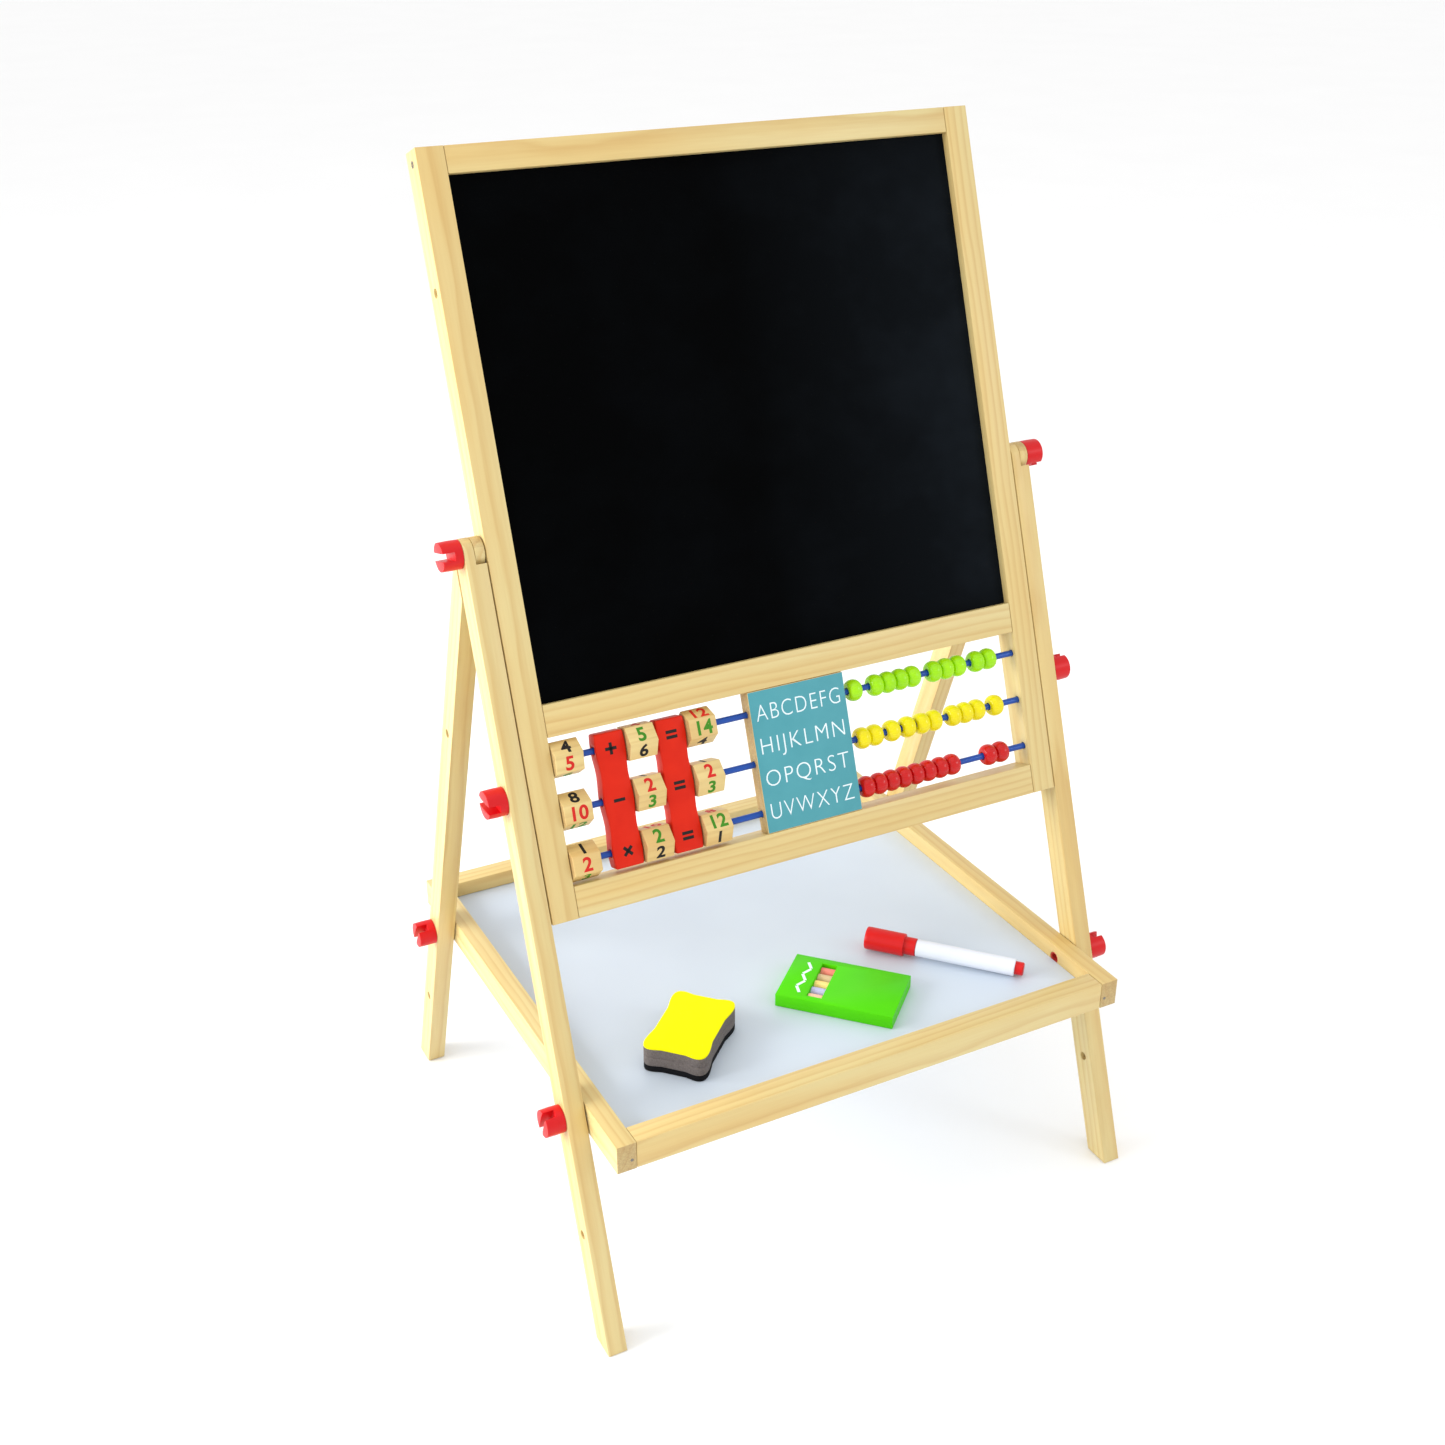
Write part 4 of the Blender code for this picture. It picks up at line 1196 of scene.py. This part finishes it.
def screw_head(name):
    """A dome on the XY plane, with a cross recess."""
    steps = [(-0.6 * MM, SCREW_RADIUS), (0.05 * MM, SCREW_RADIUS), (SCREW_PROUD, SCREW_RADIUS * 0.6)]
    head = turn_piece(name, steps, 32, steel)
    for long, wide in (CROSS, CROSS[::-1]):
        cut_box(head, "cross", (0, 0, 0.35 * MM), (long, wide, 1 * MM))
    return head


for side, sign in (("left", -1), ("right", 1)):
    heads = []
    outer = max(abs(corner.x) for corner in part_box(f"stile_{side}"))
    for rail in ("top_rail", "middle_rail", "bottom_rail"):
        centre = middle_of(rail)
        spot = Vector((sign * outer, centre.y, centre.z))
        heads.append(put(screw_head("screw"), stood(spot, (sign, 0, 0))))
    settle(join(f"rail_screws_{side}", heads), f"stile_{side}", replaces=False)

    nails = []
    for end in ("front", "back"):
        low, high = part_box(f"tray_side_{side}")
        facing_way = -1 if end == "front" else 1
        face_y = low.y if end == "front" else high.y
        spot = Vector((sign * (outer - NAIL_IN), face_y, (low.z + high.z) / 2 - NAIL_DROP))
        steps = [(-0.5 * MM, NAIL_RADIUS), (0.05 * MM, NAIL_RADIUS), (0.12 * MM, NAIL_RADIUS * 0.7)]
        nail = turn_piece("nail", steps, 24, steel)
        nails.append(put(nail, stood(spot, (0, facing_way, 0))))
    settle(join(f"tray_nails_{side}", nails), f"tray_side_{side}", replaces=False)
print("screws and nails made")

# %% [markdown]
# ## The sweep
# The easel stands on a wide white floor, which isn't part of the object. Its paper glows a very little, so
# that it meets the white wall with no grey line.

# %% Make the floor
def make_floor():
    paper = Finish("studio_paper")
    cloud = paper.noise(3.0, None, 2.0)
    white = paper.mix(cloud, (0.93, 0.93, 0.93, 1), (0.9, 0.9, 0.9, 1))
    return paper.wear(
        Base_Color=white,
        Roughness=0.9,
        Specular_IOR_Level=0.2,
        Emission_Color=(1, 1, 1, 1),
        Emission_Strength=0.05,
    )


bpy.ops.object.select_all(action="DESELECT")
bpy.ops.mesh.primitive_plane_add(size=30, location=(0, 0, -0.0005))
floor = named("floor", make_floor())
print("floor:", round(floor.dimensions.x), "m across")

# %% [markdown]
# ## The end

# %% Finish
print("finished")
